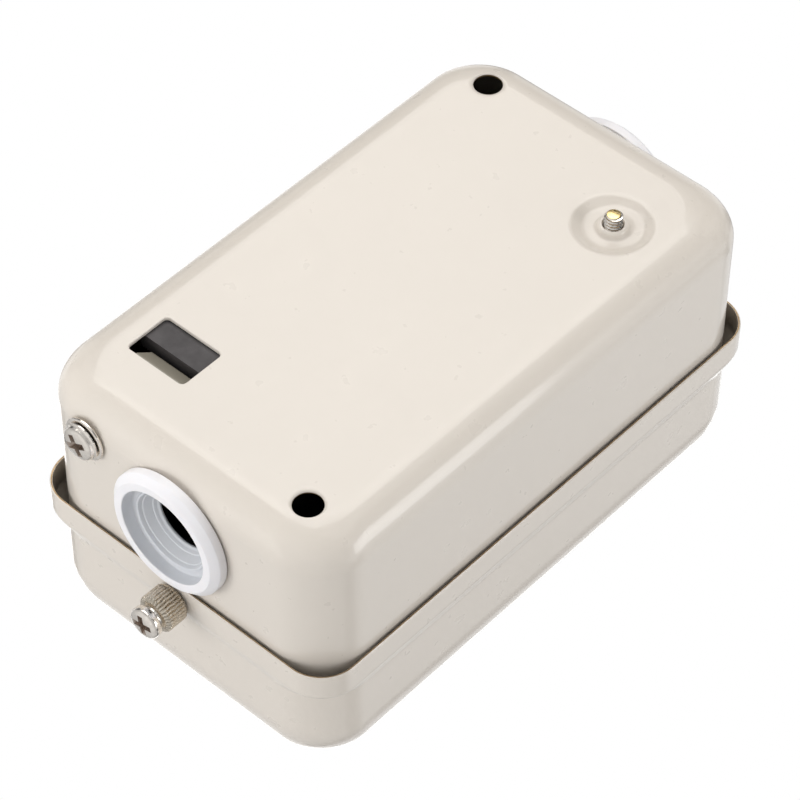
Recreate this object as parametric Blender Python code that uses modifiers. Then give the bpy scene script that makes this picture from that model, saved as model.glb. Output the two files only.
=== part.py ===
"""A direct-on-line magnetic motor starter in a two-shell pressed steel case.

The case hangs on a wall: its back is the plane y = 0, its front faces -Y and +Z is up. The
origin is the middle of the back. All lengths below are in millimetres, and the helpers scale
them to metres.
"""

import math

import bmesh
import bpy
from mathutils import Matrix, Vector

MM = 0.001
GAP = 0.3

# The case
CASE_WIDTH, CASE_HEIGHT, CASE_DEPTH = 95.0, 160.0, 90.0
SHEET = 0.9
BASE_EDGE, BASE_CORNER, BASE_FILLET, BACK_CORNER = 49.5, 15.8, 10.0, 12.0
RIM_EDGE, RIM_OFFSET, RIM_CORNER = 41.7, 1.5, 10.6
JOGGLE_TOP, JOGGLE_BOTTOM = 50.4, 52.8
COVER_OFFSET, COVER_CORNER, COVER_FILLET, FRONT_CORNER = 0.4, 15.6, 22.0, 8.0

# Openings in the back
WALL_HOLE, WALL_HOLE_RADIUS = (31.3, 67.0), 3.8
WINDOW_LOW, WINDOW_HIGH, WINDOW_CORNER = (15.6, -60.2), (34.1, -46.7), 1.2
LUG_DEPTH, LUG_REACH, LUG_NOTCH = 4.4, 5.0, 3.2
BOSS_X, BOSS_Z = -24.9, 49.4
DISH_RADIUS, DISH_FLOOR_RADIUS, DISH_DEPTH = 10.4, 6.4, 1.6
BURR_RADIUS, BURR_HOLE_RADIUS, BURR_HEIGHT = 4.0, 2.6, 1.6

# Cable entries, earth screw and cover screw, in the two end walls
LOWER_ENTRY_Y, UPPER_ENTRY_Y, ENTRY_HOLE_RADIUS, CABLE_RADIUS = -22.4, -23.6, 12.5, 7.8
GROMMET_RADIUS, GROMMET_STAND = 17.6, 4.4
EARTH_X, EARTH_Y = 28.4, -11.6
COVER_SCREW_Y, COVER_SCREW_RADIUS = -47.3, 1.9
SLOT_RADIUS = 2.4
COLLAR_RADIUS, COLLAR_LENGTH = 5.25, 7.0
HOOK_X, HOOK_WIDTH = 24.0, 8.0
HOOK_SLOT_LOW, HOOK_SLOT_HIGH = -48.3, -42.2
HOOK_FRONT, HOOK_TOE = -46.4, -42.0
COVER_SCREW_REACH, NUT_HALF, NUT_THICK = 9.0, 3.5, 2.4

# The starter inside
CHASSIS_BACK, CHASSIS_FRONT, CHASSIS_LOW = -2.8, -5.8, -54.0
FOOT_LEFT, FOOT_RIGHT, FOOT_TOP = 14.5, 35.5, -44.0
STARTER_SCREW_RADIUS, STARTER_SCREW_TIP = 2.4, 3.4
MOULDING = 2.0
UNIT_X, UNIT_HALF = 3.0, 22.5
POLE_PITCH = 12.0
CORE_Z, CORE_HALF, CORE_THICK = 22.0, 22.0, 14.0
CORE_LEG_INNER, CORE_LEG_OUTER, YOKE_THICK = 6.5, 15.5, 6.0
CORE_MEETING, YOKE_FRONT = -26.5, -43.0
BOBBIN_HALF_X, BOBBIN_HALF_Z, BOBBIN_WALL = 16.0, 15.0, 0.9
SPRING_SPACING, SPRING_FRONT = 28.0, -42.4
CARRIER_HALF, CARRIER_FRONT = 8.0, -60.0
FLAG_X, FLAG_HALF_Z, FLAG_FRONT = 12.0, 4.0, -68.5
CONTACTOR_LOW, CONTACTOR_HIGH = -14.0, 58.0
COIL_SPLIT, TERMINAL_FRONT, NOSE_FRONT = -34.0, -52.0, -70.0
STRAP_BACK, STRAP_THICK, PAD_THICK = -45.7, 1.2, 0.8
CONTACT_INNER, CONTACT_OUTER, CLAMP_SPACING = 10.2, 14.0, 29.5
ARMATURE_STROKE = 4.2
RELAY_LOW, RELAY_HIGH, RELAY_BACK, RELAY_FRONT = -64.0, -17.0, -7.0, -62.0
RELAY_WALL, RELAY_SHELF, LID_THICK = 1.8, -50.0, 2.4
DIAL_X, RESET_STAND = -12.0, 6.0

# Front controls
START_Z, STOP_Z, BUTTON_RADIUS = 20.0, -30.0, 10.8
BARREL_RADIUS, STEM_RADIUS = 13.3, 4.0
BARREL_FLOOR, BUTTON_BACK = 80.0, 86.0
START_STAND, START_REACH, STOP_STAND, STOP_REACH = 2.0, 83.4, 4.6, 71.3
PLATE_HALF, PLATE_LOW, PLATE_HIGH, PLATE_THICK = 20.0, -49.0, 39.0, 2.2

PAINT = ("case_paint", (0.76, 0.72, 0.67), 0.28, 0.0)
GROMMET_PLASTIC = ("grommet_plastic", (0.86, 0.89, 0.92), 0.35, 0.0)
NICKEL = ("nickel_plate", (0.78, 0.76, 0.72), 0.22, 1.0)
BRASS = ("brass", (0.80, 0.62, 0.30), 0.30, 1.0)
ZINC = ("zinc_plate", (0.62, 0.63, 0.64), 0.35, 1.0)
BLACK_PLASTIC = ("black_moulding", (0.035, 0.035, 0.038), 0.55, 0.0)
GREY_PLASTIC = ("grey_moulding", (0.30, 0.31, 0.32), 0.50, 0.0)
IVORY_PLASTIC = ("ivory_moulding", (0.72, 0.69, 0.60), 0.45, 0.0)
CORE_STEEL = ("core_steel", (0.33, 0.34, 0.36), 0.40, 1.0)
COPPER = ("copper", (0.72, 0.38, 0.22), 0.35, 1.0)
WINDING = ("winding_tape", (0.55, 0.30, 0.08), 0.40, 0.0)
SPRING_STEEL = ("spring_steel", (0.55, 0.55, 0.57), 0.30, 1.0)
GREEN_PLASTIC = ("green_button", (0.03, 0.30, 0.08), 0.32, 0.0)
RED_PLASTIC = ("red_button", (0.55, 0.02, 0.02), 0.32, 0.0)

Y_AXIS, Z_AXIS = Vector((0, 1, 0)), Vector((0, 0, 1))


def clear_scene():
    """Remove what the startup file holds."""
    for obj in list(bpy.data.objects):
        bpy.data.objects.remove(obj, do_unlink=True)
    for old in list(bpy.data.collections):
        bpy.data.collections.remove(old)


def new_collection(name, hidden=False):
    """Add a collection to the scene; a hidden one holds cutters and other helpers."""
    made = bpy.data.collections.new(name)
    bpy.context.scene.collection.children.link(made)
    made.hide_render = hidden
    return made


clear_scene()
PARTS = new_collection("magnetic_motor_starter")
HELPERS = new_collection("helpers", hidden=True)


def get_material(finish):
    """The Principled material for a finish: (name, colour, roughness, metallic)."""
    name, colour, roughness, metallic = finish
    found = bpy.data.materials.get(name)
    if found:
        return found
    made = bpy.data.materials.new(name)
    made.use_nodes = True
    shader = made.node_tree.nodes["Principled BSDF"]
    shader.inputs["Base Color"].default_value = (*colour, 1.0)
    shader.inputs["Roughness"].default_value = roughness
    shader.inputs["Metallic"].default_value = metallic
    return made


def add_object(name, mesh, finish, at=(0, 0, 0), axis=Z_AXIS):
    """Place a mesh as a part, or as a hidden helper where finish is None."""
    obj = bpy.data.objects.new(name, mesh)
    obj.location = Vector(at) * MM
    obj.rotation_mode = "QUATERNION"
    obj.rotation_quaternion = Z_AXIS.rotation_difference(Vector(axis))
    if finish:
        PARTS.objects.link(obj)
        mesh.materials.append(get_material(finish))
    else:
        HELPERS.objects.link(obj)
        obj.hide_render = True
        obj.display_type = "WIRE"
    return obj


def to_mesh(bm, name):
    """Turn a bmesh in millimetres into a mesh in metres, with its faces turned outwards."""
    bmesh.ops.recalc_face_normals(bm, faces=bm.faces)
    bmesh.ops.scale(bm, vec=(MM, MM, MM), verts=bm.verts)
    mesh = bpy.data.meshes.new(name)
    bm.to_mesh(mesh)
    bm.free()
    return mesh


def block(name, low, high, finish=None, origin=None, chamfer=0.0):
    """A box from its low corner to its high corner, with its object's origin at a given point."""
    low, high = Vector(low), Vector(high)
    origin = (low + high) / 2 if origin is None else Vector(origin)
    bm = bmesh.new()
    bmesh.ops.create_cube(bm, size=1.0)
    bmesh.ops.scale(bm, vec=high - low, verts=bm.verts)
    bmesh.ops.translate(bm, vec=(low + high) / 2 - origin, verts=bm.verts)
    obj = add_object(name, to_mesh(bm, name), finish, origin)
    if chamfer:
        bevel = obj.modifiers.new("edge", "BEVEL")
        bevel.width = chamfer * MM
        bevel.segments = 1
        bevel.limit_method = "ANGLE"
    return obj


def extruded(name, section, left, right):
    """A helper whose (y, z) section, convex and in order, runs along X."""
    bm = bmesh.new()
    ends = [[bm.verts.new((x, y, z)) for y, z in section] for x in (left, right)]
    for i in range(len(section)):
        j = (i + 1) % len(section)
        bm.faces.new((ends[0][i], ends[0][j], ends[1][j], ends[1][i]))
    bm.faces.new(ends[0][::-1])
    bm.faces.new(ends[1])
    return add_object(name, to_mesh(bm, name), None)


def turned(name, profile, finish, at, axis, sides=24):
    """A turned shape about an axis. The profile's (radius, height) points run from top to bottom."""
    bm = bmesh.new()
    points = [bm.verts.new((radius, 0, height)) for radius, height in profile]
    ring = profile[0][0] > 0
    for start, end in zip(points, points[1:] + points[:1] if ring else points[1:]):
        bm.edges.new((start, end))
    bmesh.ops.scale(bm, vec=(MM, MM, MM), verts=bm.verts)
    mesh = bpy.data.meshes.new(name)
    bm.to_mesh(mesh)
    bm.free()
    obj = add_object(name, mesh, finish, at, axis)
    screw = obj.modifiers.new("turn", "SCREW")
    screw.steps = screw.render_steps = sides
    screw.use_merge_vertices = True
    screw.merge_threshold = 1e-6
    screw.use_smooth_shade = True
    return obj


def rod(name, radius, start, end, finish, at, axis, sides=16):
    """A plain cylinder between two heights along its axis."""
    profile = [(0, end), (radius, end), (radius, start), (0, start)]
    return turned(name, profile, finish, at, axis, sides)


def tube(name, outer, inner, start, end, finish, at, axis, sides=16):
    """A plain ring between two heights along its axis."""
    profile = [(inner, end), (outer, end), (outer, start), (inner, start)]
    return turned(name, profile, finish, at, axis, sides)


def combine(target, operation, *others):
    """Cut helpers from a part, or join them to it. A helper is left out of the part's collection."""
    for other in others:
        boolean = target.modifiers.new(other.name, "BOOLEAN")
        boolean.operation = operation
        boolean.solver = "EXACT"
        boolean.object = other
    return target


def cut(target, *others):
    """Cut helpers from a part."""
    return combine(target, "DIFFERENCE", *others)


def join(target, *others):
    """Join helpers to a part."""
    return combine(target, "UNION", *others)


def moving(name, at, *members):
    """Hang pieces on an empty that stands on their joint's axis."""
    pivot = bpy.data.objects.new(name, None)
    pivot.empty_display_size = 5 * MM
    pivot.location = Vector(at) * MM
    PARTS.objects.link(pivot)
    for member in members:
        member.parent = pivot
        member.matrix_parent_inverse = Matrix.Translation(-pivot.location)
    return pivot


def rounded_outline(half_x, half_z, radius, steps=6):
    """The points of a rounded rectangle, anticlockwise from the right-hand side."""
    points = []
    for quarter, (sx, sz) in enumerate(((1, 1), (-1, 1), (-1, -1), (1, -1))):
        for step in range(steps + 1):
            angle = math.radians(90 * (quarter + step / steps))
            x = sx * (half_x - radius) + radius * math.cos(angle)
            z = sz * (half_z - radius) + radius * math.sin(angle)
            points.append((x, z))
    return points


def pressed_shell(name, stations, finish):
    """A pressed sheet-steel tray from its open edge to its flat.

    Each station is (depth behind the front of the wall, outward offset, corner radius).
    """
    bm = bmesh.new()
    rings = []
    for depth, offset, radius in stations:
        outline = rounded_outline(CASE_WIDTH / 2 + offset, CASE_HEIGHT / 2 + offset, radius)
        rings.append([bm.verts.new((x, -depth, z)) for x, z in outline])
    for ring, following in zip(rings, rings[1:]):
        for i, corner in enumerate(ring):
            j = (i + 1) % len(ring)
            bm.faces.new((corner, ring[j], following[j], following[i]))
    bm.faces.new(rings[-1])
    flat_outwards = 1 if stations[-1][0] == 0 else -1
    bmesh.ops.recalc_face_normals(bm, faces=bm.faces)
    bm.faces.ensure_lookup_table()
    if bm.faces[-1].normal.y * flat_outwards < 0:
        bmesh.ops.reverse_faces(bm, faces=bm.faces)
    bmesh.ops.scale(bm, vec=(MM, MM, MM), verts=bm.verts)
    mesh = bpy.data.meshes.new(name)
    bm.to_mesh(mesh)
    bm.free()
    mesh.shade_smooth()
    obj = add_object(name, mesh, finish)
    sheet = obj.modifiers.new("sheet", "SOLIDIFY")
    sheet.thickness = SHEET * MM
    sheet.offset = -1
    sheet.use_even_offset = True
    return obj


def fillet_stations(flat, direction, offset, corner, fillet, flat_corner, steps=5):
    """Stations that round the wall into the flat, whose corner radius shrinks on the way."""
    stations = []
    for step in range(steps + 1):
        angle = math.radians(90 * step / steps)
        inset = fillet * (1 - math.cos(angle))
        depth = flat - direction * fillet * (1 - math.sin(angle))
        radius = corner - (corner - flat_corner) * inset / fillet
        stations.append((depth, offset - inset, radius))
    return stations


def make_base_shell():
    """The wall-side tray, with its wall holes, window, lug, dished boss and cable entries."""
    stations = [(BASE_EDGE, 0, BASE_CORNER)]
    stations += fillet_stations(0, -1, 0, BASE_CORNER, BASE_FILLET, BACK_CORNER)
    base = pressed_shell("base_shell", stations, PAINT)
    boss = (BOSS_X, 0, BOSS_Z)
    bump = [
        (0, -SHEET / 2),
        (DISH_RADIUS + SHEET, -SHEET / 2),
        (DISH_RADIUS + SHEET, -SHEET),
        (DISH_FLOOR_RADIUS + SHEET, -SHEET - DISH_DEPTH),
        (0, -SHEET - DISH_DEPTH),
    ]
    dish = [
        (0, 1),
        (DISH_RADIUS, 1),
        (DISH_RADIUS, 0),
        (DISH_FLOOR_RADIUS, -DISH_DEPTH),
        (0, -DISH_DEPTH),
    ]
    join(base, turned("dish_bump", bump, None, boss, Y_AXIS))
    cut(base, turned("dish", dish, None, boss, Y_AXIS))
    burr_low, burr_high = -DISH_DEPTH - SHEET / 2, -DISH_DEPTH + BURR_HEIGHT
    join(base, rod("burr", BURR_RADIUS, burr_low, burr_high, None, boss, Y_AXIS))
    cut(base, rod("burr_hole", BURR_HOLE_RADIUS, -5, 3, None, boss, Y_AXIS))
    for side in (-1, 1):
        place = (side * WALL_HOLE[0], 0, side * WALL_HOLE[1])
        cut(base, rod(f"wall_hole_{side}", WALL_HOLE_RADIUS, -4, 4, None, place, Y_AXIS))
        end = (0, UPPER_ENTRY_Y if side > 0 else LOWER_ENTRY_Y, side * CASE_HEIGHT / 2)
        cut(base, rod(f"entry_{side}", ENTRY_HOLE_RADIUS, -4, 4, None, end, Z_AXIS, 24))
        hook = side * HOOK_X
        half = HOOK_WIDTH / 2 + 0.6
        low, high = (hook - half, HOOK_SLOT_LOW, 70), (hook + half, HOOK_SLOT_HIGH, 90)
        cut(base, block(f"hook_slot_{side}", low, high))
    x0, z0 = WINDOW_LOW
    x1, z1 = WINDOW_HIGH
    cut(base, block("window", (x0, -4, z0), (x1, 4, z1), chamfer=WINDOW_CORNER))
    section = [
        (-SHEET / 3, z0 - 0.6),
        (-SHEET / 3, z0 + 0.1),
        (-LUG_DEPTH + SHEET, z0 + LUG_REACH),
        (-LUG_DEPTH, z0 + LUG_REACH),
        (-SHEET * 1.5, z0 - 0.6),
    ]
    join(base, extruded("lug", section, x0 + 0.3, x1 - LUG_NOTCH))
    earth = (EARTH_X, EARTH_Y, -CASE_HEIGHT / 2)
    cut(base, rod("earth_hole", 2.9, -4, 4, None, earth, Z_AXIS))
    slot = (0, COVER_SCREW_Y, -CASE_HEIGHT / 2)
    cut(base, rod("cover_screw_slot", SLOT_RADIUS, -4, 4, None, slot, Z_AXIS))
    low = (-SLOT_RADIUS, -BASE_EDGE - 2, -CASE_HEIGHT / 2 - 4)
    high = (SLOT_RADIUS, COVER_SCREW_Y, -CASE_HEIGHT / 2 + 4)
    cut(base, block("cover_screw_mouth", low, high))
    return base


def make_grommet(end):
    """A snap-in cable grommet; end is -1 for the lower end wall and 1 for the upper."""
    name = "cable_grommet_lower" if end < 0 else "cable_grommet_upper"
    neck = ENTRY_HOLE_RADIUS - GAP
    inside = SHEET + GAP
    profile = [
        (CABLE_RADIUS + 3.3, GROMMET_STAND - 3.2),
        (GROMMET_RADIUS - 4.5, GROMMET_STAND - 3.2),
        (GROMMET_RADIUS - 4.2, GROMMET_STAND),
        (GROMMET_RADIUS - 1.7, GROMMET_STAND),
        (GROMMET_RADIUS, GROMMET_STAND - 1.7),
        (GROMMET_RADIUS, GAP),
        (neck, GAP),
        (neck, -inside),
        (neck + 1.5, -inside),
        (neck + 0.4, -inside - 2.6),
        (CABLE_RADIUS, -inside - 2.6),
        (CABLE_RADIUS, -inside - 1.6),
    ]
    at = (0, UPPER_ENTRY_Y if end > 0 else LOWER_ENTRY_Y, end * CASE_HEIGHT / 2)
    return turned(name, profile, GROMMET_PLASTIC, at, Z_AXIS * end, 32)


def make_earth_screw():
    """The protective-earth screw, its toothed washer under the head and its nut inside."""
    at = (EARTH_X, EARTH_Y, -CASE_HEIGHT / 2)
    washer_top = GAP + 1.0
    tube("earth_washer", 6.0, 2.8, GAP, washer_top, ZINC, at, -Z_AXIS)
    seat = washer_top + GAP
    head = [
        (0, seat + 2.4),
        (2.6, seat + 2.2),
        (4.0, seat + 1.5),
        (4.6, seat + 0.7),
        (5.2, seat + 0.5),
        (5.2, seat),
        (2.4, seat),
        (2.4, -11),
        (0, -11),
    ]
    turned("earth_screw", head, NICKEL, at, -Z_AXIS)
    nut = rod("earth_nut", 3.7, -SHEET - GAP - 3.6, -SHEET - GAP, ZINC, at, -Z_AXIS, 6)
    cut(nut, rod("earth_nut_bore", 2.7, -9, 9, None, at, -Z_AXIS))


def make_cover_shell():
    """The front tray, whose joggled rim laps outside the base."""
    stations = [
        (RIM_EDGE, RIM_OFFSET, RIM_CORNER),
        (JOGGLE_TOP, RIM_OFFSET, RIM_CORNER),
        (JOGGLE_BOTTOM, COVER_OFFSET, COVER_CORNER),
    ]
    rounded = (COVER_OFFSET, COVER_CORNER, COVER_FILLET, FRONT_CORNER)
    stations += fillet_stations(CASE_DEPTH, 1, *rounded)
    cover = pressed_shell("cover_shell", stations, PAINT)
    for z in (START_Z, STOP_Z):
        at = (0, -CASE_DEPTH, z)
        name = f"barrel_hole_{z:.0f}"
        cut(cover, rod(name, BARREL_RADIUS + GAP, -4, 4, None, at, Y_AXIS, 24))
    at = (0, COVER_SCREW_Y, -CASE_HEIGHT / 2)
    cut(cover, rod("cover_screw_hole", COVER_SCREW_RADIUS + 0.4, -4, 4, None, at, Z_AXIS))
    return cover


def make_cover_hook(side):
    """A hook inside the cover's upper rim. It drops into a slot in the base and turns up behind it."""
    name = "cover_hook_left" if side < 0 else "cover_hook_right"
    x = side * HOOK_X
    top = CASE_HEIGHT / 2 + RIM_OFFSET - SHEET - GAP
    foot = CASE_HEIGHT / 2 - SHEET - 1.9
    low = Vector((x - HOOK_WIDTH / 2, HOOK_FRONT, foot))
    high = Vector((x + HOOK_WIDTH / 2, HOOK_FRONT + 1.0, top))
    hook = block(name, low, high, ZINC)
    toe = block(name + "_toe", low, (high.x, HOOK_TOE, foot + SHEET))
    return join(hook, toe)


def make_cover_screw():
    """The knurled captive screw and the square nut that it draws against the base wall."""
    at = (0, COVER_SCREW_Y, -CASE_HEIGHT / 2)
    seat = RIM_OFFSET + GAP
    neck = seat + COLLAR_LENGTH
    head = neck + 1.2
    profile = [
        (0, head + 2.8),
        (2.4, head + 2.6),
        (3.8, head + 1.7),
        (4.3, head + 0.6),
        (4.0, head),
        (3.0, head),
        (3.0, neck),
        (COLLAR_RADIUS - 0.8, neck),
        (COLLAR_RADIUS, neck - 0.8),
        (COLLAR_RADIUS, seat + 0.8),
        (COLLAR_RADIUS - 0.8, seat),
        (COVER_SCREW_RADIUS, seat),
        (COVER_SCREW_RADIUS, -COVER_SCREW_REACH),
        (0, -COVER_SCREW_REACH),
    ]
    screw = turned("cover_screw", profile, NICKEL, at, -Z_AXIS)
    top = -CASE_HEIGHT / 2 + SHEET + GAP
    low = (-NUT_HALF, COVER_SCREW_Y - NUT_HALF, top)
    high = (NUT_HALF, COVER_SCREW_Y + NUT_HALF, top + NUT_THICK)
    nut = block("cover_screw_nut", low, high, ZINC)
    cut(nut, rod("nut_bore", COVER_SCREW_RADIUS + GAP, -20, 20, None, at, Z_AXIS, 12))
    return screw, nut


def make_chassis():
    """The black moulded plate that carries the starter. Its foot shows in the window."""
    low, high = (-34, CHASSIS_FRONT, CHASSIS_LOW), (36, CHASSIS_BACK, 57)
    chassis = block("starter_chassis", low, high, BLACK_PLASTIC)
    low, high = (FOOT_LEFT, CHASSIS_FRONT + 1, CHASSIS_LOW), (FOOT_RIGHT, -SHEET - GAP, FOOT_TOP)
    join(chassis, block("foot", low, high))
    boss = (BOSS_X, 0, BOSS_Z)
    cut(chassis, rod("chassis_hole", 2.9, -9, 2, None, boss, Y_AXIS))
    seat = -CHASSIS_FRONT + GAP
    profile = [
        (0, seat + 2.8),
        (3.2, seat + 2.4),
        (4.3, seat + 1.2),
        (4.3, seat),
        (STARTER_SCREW_RADIUS, seat),
        (STARTER_SCREW_RADIUS, -STARTER_SCREW_TIP + 0.5),
        (STARTER_SCREW_RADIUS - 0.5, -STARTER_SCREW_TIP),
        (0, -STARTER_SCREW_TIP),
    ]
    turned("starter_screw", profile, BRASS, boss, -Y_AXIS)


def pole_places():
    """The middle of each pole, from left to right."""
    return [UNIT_X + (pole - 1) * POLE_PITCH for pole in range(3)]


def unit_block(name, half_x, y, z, finish=None, middle=UNIT_X):
    """A box centred across the starter, or across one pole, with its ranges in depth and height."""
    (y_low, y_high), (z_low, z_high) = sorted(y), sorted(z)
    low, high = (middle - half_x, y_low, z_low), (middle + half_x, y_high, z_high)
    return block(name, low, high, finish)


def make_contactor_base():
    """The rear half of the contactor: an open moulded box that holds the magnet."""
    back = CHASSIS_FRONT - GAP
    height = (CONTACTOR_LOW, CONTACTOR_HIGH)
    base = unit_block("contactor_base", UNIT_HALF, (COIL_SPLIT, back), height, BLACK_PLASTIC)
    room = (CONTACTOR_LOW + MOULDING, CONTACTOR_HIGH - MOULDING)
    depth = (COIL_SPLIT - MOULDING, back - MOULDING)
    cut(base, unit_block("magnet_room", UNIT_HALF - MOULDING, depth, room))


def e_core(name, back, tips, finish):
    """A laminated E core: its yoke starts at `back` and its three legs end at `tips`."""
    towards = 1 if tips > back else -1
    height = (CORE_Z - CORE_HALF, CORE_Z + CORE_HALF)
    core = unit_block(name, CORE_THICK / 2, (back, tips), height, finish)
    for side in (-1, 1):
        room = (CORE_Z + side * CORE_LEG_INNER, CORE_Z + side * CORE_LEG_OUTER)
        depth = (back + towards * YOKE_THICK, tips + towards * 2)
        cut(core, unit_block(f"{name}_room_{side}", UNIT_HALF, depth, room))
    return core


def make_magnet():
    """The coil on its bobbin, the fixed core in the base and the moving core in front."""
    back = CHASSIS_FRONT - GAP - MOULDING - GAP
    e_core("fixed_core", back, CORE_MEETING, CORE_STEEL)
    armature = e_core("moving_core", YOKE_FRONT, CORE_MEETING - ARMATURE_STROKE - GAP, CORE_STEEL)
    hole_x, hole_z = CORE_THICK / 2 + 0.6, CORE_LEG_INNER + 0.6
    front, rear = YOKE_FRONT + YOKE_THICK + ARMATURE_STROKE + 2 * GAP, back - YOKE_THICK - GAP
    full = (CORE_Z - BOBBIN_HALF_Z, CORE_Z + BOBBIN_HALF_Z)
    bobbin = unit_block("coil_bobbin", BOBBIN_HALF_X, (front, rear), full, IVORY_PLASTIC)
    flange = 1.2
    around = (CORE_Z - CORE_HALF, CORE_Z + CORE_HALF)
    cut(bobbin, unit_block("winding_channel", UNIT_HALF, (front + flange, rear - flange), around))
    spool_z = (CORE_Z - hole_z - BOBBIN_WALL, CORE_Z + hole_z + BOBBIN_WALL)
    depth = (front + flange / 2, rear - flange / 2)
    join(bobbin, unit_block("spool", hole_x + BOBBIN_WALL, depth, spool_z))
    bore_z = (CORE_Z - hole_z, CORE_Z + hole_z)
    cut(bobbin, unit_block("core_bore", hole_x, (front - 3, rear + 3), bore_z))
    grow = BOBBIN_WALL + GAP
    depth = (front + flange + GAP, rear - flange - GAP)
    wound = (CORE_Z - BOBBIN_HALF_Z + 0.6, CORE_Z + BOBBIN_HALF_Z - 0.6)
    winding = unit_block("coil_winding", BOBBIN_HALF_X - 0.6, depth, wound, WINDING)
    bore_z = (CORE_Z - hole_z - grow, CORE_Z + hole_z + grow)
    cut(winding, unit_block("winding_bore", hole_x + grow, (front - 3, rear + 3), bore_z))
    for side, word in ((1, "upper"), (-1, "lower")):
        at = (UNIT_X, 0, CORE_Z + side * SPRING_SPACING)
        tube(f"armature_spring_{word}", 3.4, 2.2, SPRING_FRONT, back, SPRING_STEEL, at, Y_AXIS, 12)
    return armature


def make_carrier():
    """The sliding contact carrier in front of the moving core, with one bridge for each pole."""
    back = YOKE_FRONT - GAP
    height = (CORE_Z - CARRIER_HALF, CORE_Z + CARRIER_HALF)
    carrier = unit_block("contact_carrier", 17.5, (CARRIER_FRONT, back), height, BLACK_PLASTIC)
    reach = SPRING_SPACING + 3.6
    wing_z = (CORE_Z - reach, CORE_Z + reach)
    wing = unit_block("carrier_wing", 4.2, (back - 1.6, back), wing_z)
    flag_z = (CORE_Z - FLAG_HALF_Z, CORE_Z + FLAG_HALF_Z)
    flag_x = UNIT_X + FLAG_X
    flag = unit_block("carrier_flag", 3, (FLAG_FRONT, CARRIER_FRONT + 1), flag_z, middle=flag_x)
    join(carrier, wing, flag)
    bridges = []
    pads = STRAP_BACK - STRAP_THICK - PAD_THICK - ARMATURE_STROKE - GAP
    for pole, x in enumerate(pole_places(), 1):
        room_z = (CORE_Z - 20, CORE_Z + 20)
        room = unit_block(f"bridge_room_{pole}", 3.4, (pads - 6.0, pads - 0.2), room_z, middle=x)
        cut(carrier, room)
        bridge_z = (CORE_Z - CONTACT_OUTER, CORE_Z + CONTACT_OUTER)
        name = f"contact_bridge_{pole}"
        bridge = unit_block(name, 3, (pads - 2.0, pads - PAD_THICK), bridge_z, COPPER, x)
        for side in (-1, 1):
            pad_z = (CORE_Z + side * CONTACT_INNER, CORE_Z + side * (CONTACT_OUTER - 0.2))
            join(bridge, unit_block(f"{name}_pad_{side}", 2, (pads - 1.2, pads), pad_z, middle=x))
        bridges.append(bridge)
    return carrier, bridges


def make_contactor_head():
    """The front half of the contactor, with a terminal bay for each pole above and below."""
    back = COIL_SPLIT - GAP
    height = (CONTACTOR_LOW, CONTACTOR_HIGH)
    head = unit_block("contactor_head", UNIT_HALF, (TERMINAL_FRONT, back), height, BLACK_PLASTIC)
    nose_z = (CORE_Z - 20, CORE_Z + 20)
    join(head, unit_block("nose", UNIT_HALF - 1.5, (NOSE_FRONT, TERMINAL_FRONT + 2), nose_z))
    wide_z = (CONTACTOR_LOW + MOULDING, CONTACTOR_HIGH - MOULDING)
    floor = STRAP_BACK + 0.3
    wide = unit_block("wide_room", UNIT_HALF - MOULDING, (floor + 0.2, back + 4), wide_z)
    narrow_z = (CORE_Z - 17.5, CORE_Z + 17.5)
    narrow = unit_block("narrow_room", UNIT_HALF - 3.4, (NOSE_FRONT + MOULDING, back), narrow_z)
    window_z = (CORE_Z - FLAG_HALF_Z - 0.5, CORE_Z + FLAG_HALF_Z + 0.5)
    window_y = (NOSE_FRONT - 2, NOSE_FRONT + 4)
    window = unit_block("flag_window", 3.5, window_y, window_z, middle=UNIT_X + FLAG_X)
    cut(head, wide, narrow, window)
    for pole, x in enumerate(pole_places(), 1):
        for side, word in ((1, "line"), (-1, "load")):
            bay_z = (CORE_Z + side * 24.5, CORE_Z + side * 40)
            bay = unit_block(f"{word}_bay_{pole}", 4.8, (TERMINAL_FRONT - 3, floor), bay_z, middle=x)
            slot_z = (CORE_Z + side * 12, CORE_Z + side * 26)
            slot_y = (STRAP_BACK - 1.6, floor)
            cut(head, bay, unit_block(f"{word}_slot_{pole}", 3.3, slot_y, slot_z, middle=x))
            make_terminal(f"{word}_terminal_{pole}", x, side)


def clamp_screw(name, at, front, back):
    """A pan-head clamp screw that stands on a terminal strap; depths are in front of the wall."""
    seat = front + GAP
    profile = [
        (0, seat + 2.6),
        (2.6, seat + 2.3),
        (3.1, seat + 1.6),
        (3.1, seat),
        (1.4, seat),
        (1.4, back + 0.1),
        (0, back + 0.1),
    ]
    turned(name, profile, NICKEL, at, -Y_AXIS, 14)


def make_terminal(name, x, side):
    """A terminal strap with its fixed contact at the inner end, and its clamp screw."""
    front = STRAP_BACK - STRAP_THICK
    strap_z = (CORE_Z + side * CONTACT_INNER, CORE_Z + side * 34.0)
    strap = unit_block(name, 3, (front, STRAP_BACK), strap_z, BRASS, x)
    pad_z = (CORE_Z + side * (CONTACT_INNER + 0.2), CORE_Z + side * (CONTACT_OUTER - 0.4))
    join(strap, unit_block(f"{name}_pad", 2, (front - PAD_THICK, front + 0.4), pad_z, middle=x))
    at = (x, 0, CORE_Z + side * CLAMP_SPACING)
    cut(strap, rod(f"{name}_hole", 1.8, -60, -40, None, at, Y_AXIS, 12))
    clamp_screw(f"{name}_screw", at, -front, -STRAP_BACK)


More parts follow.
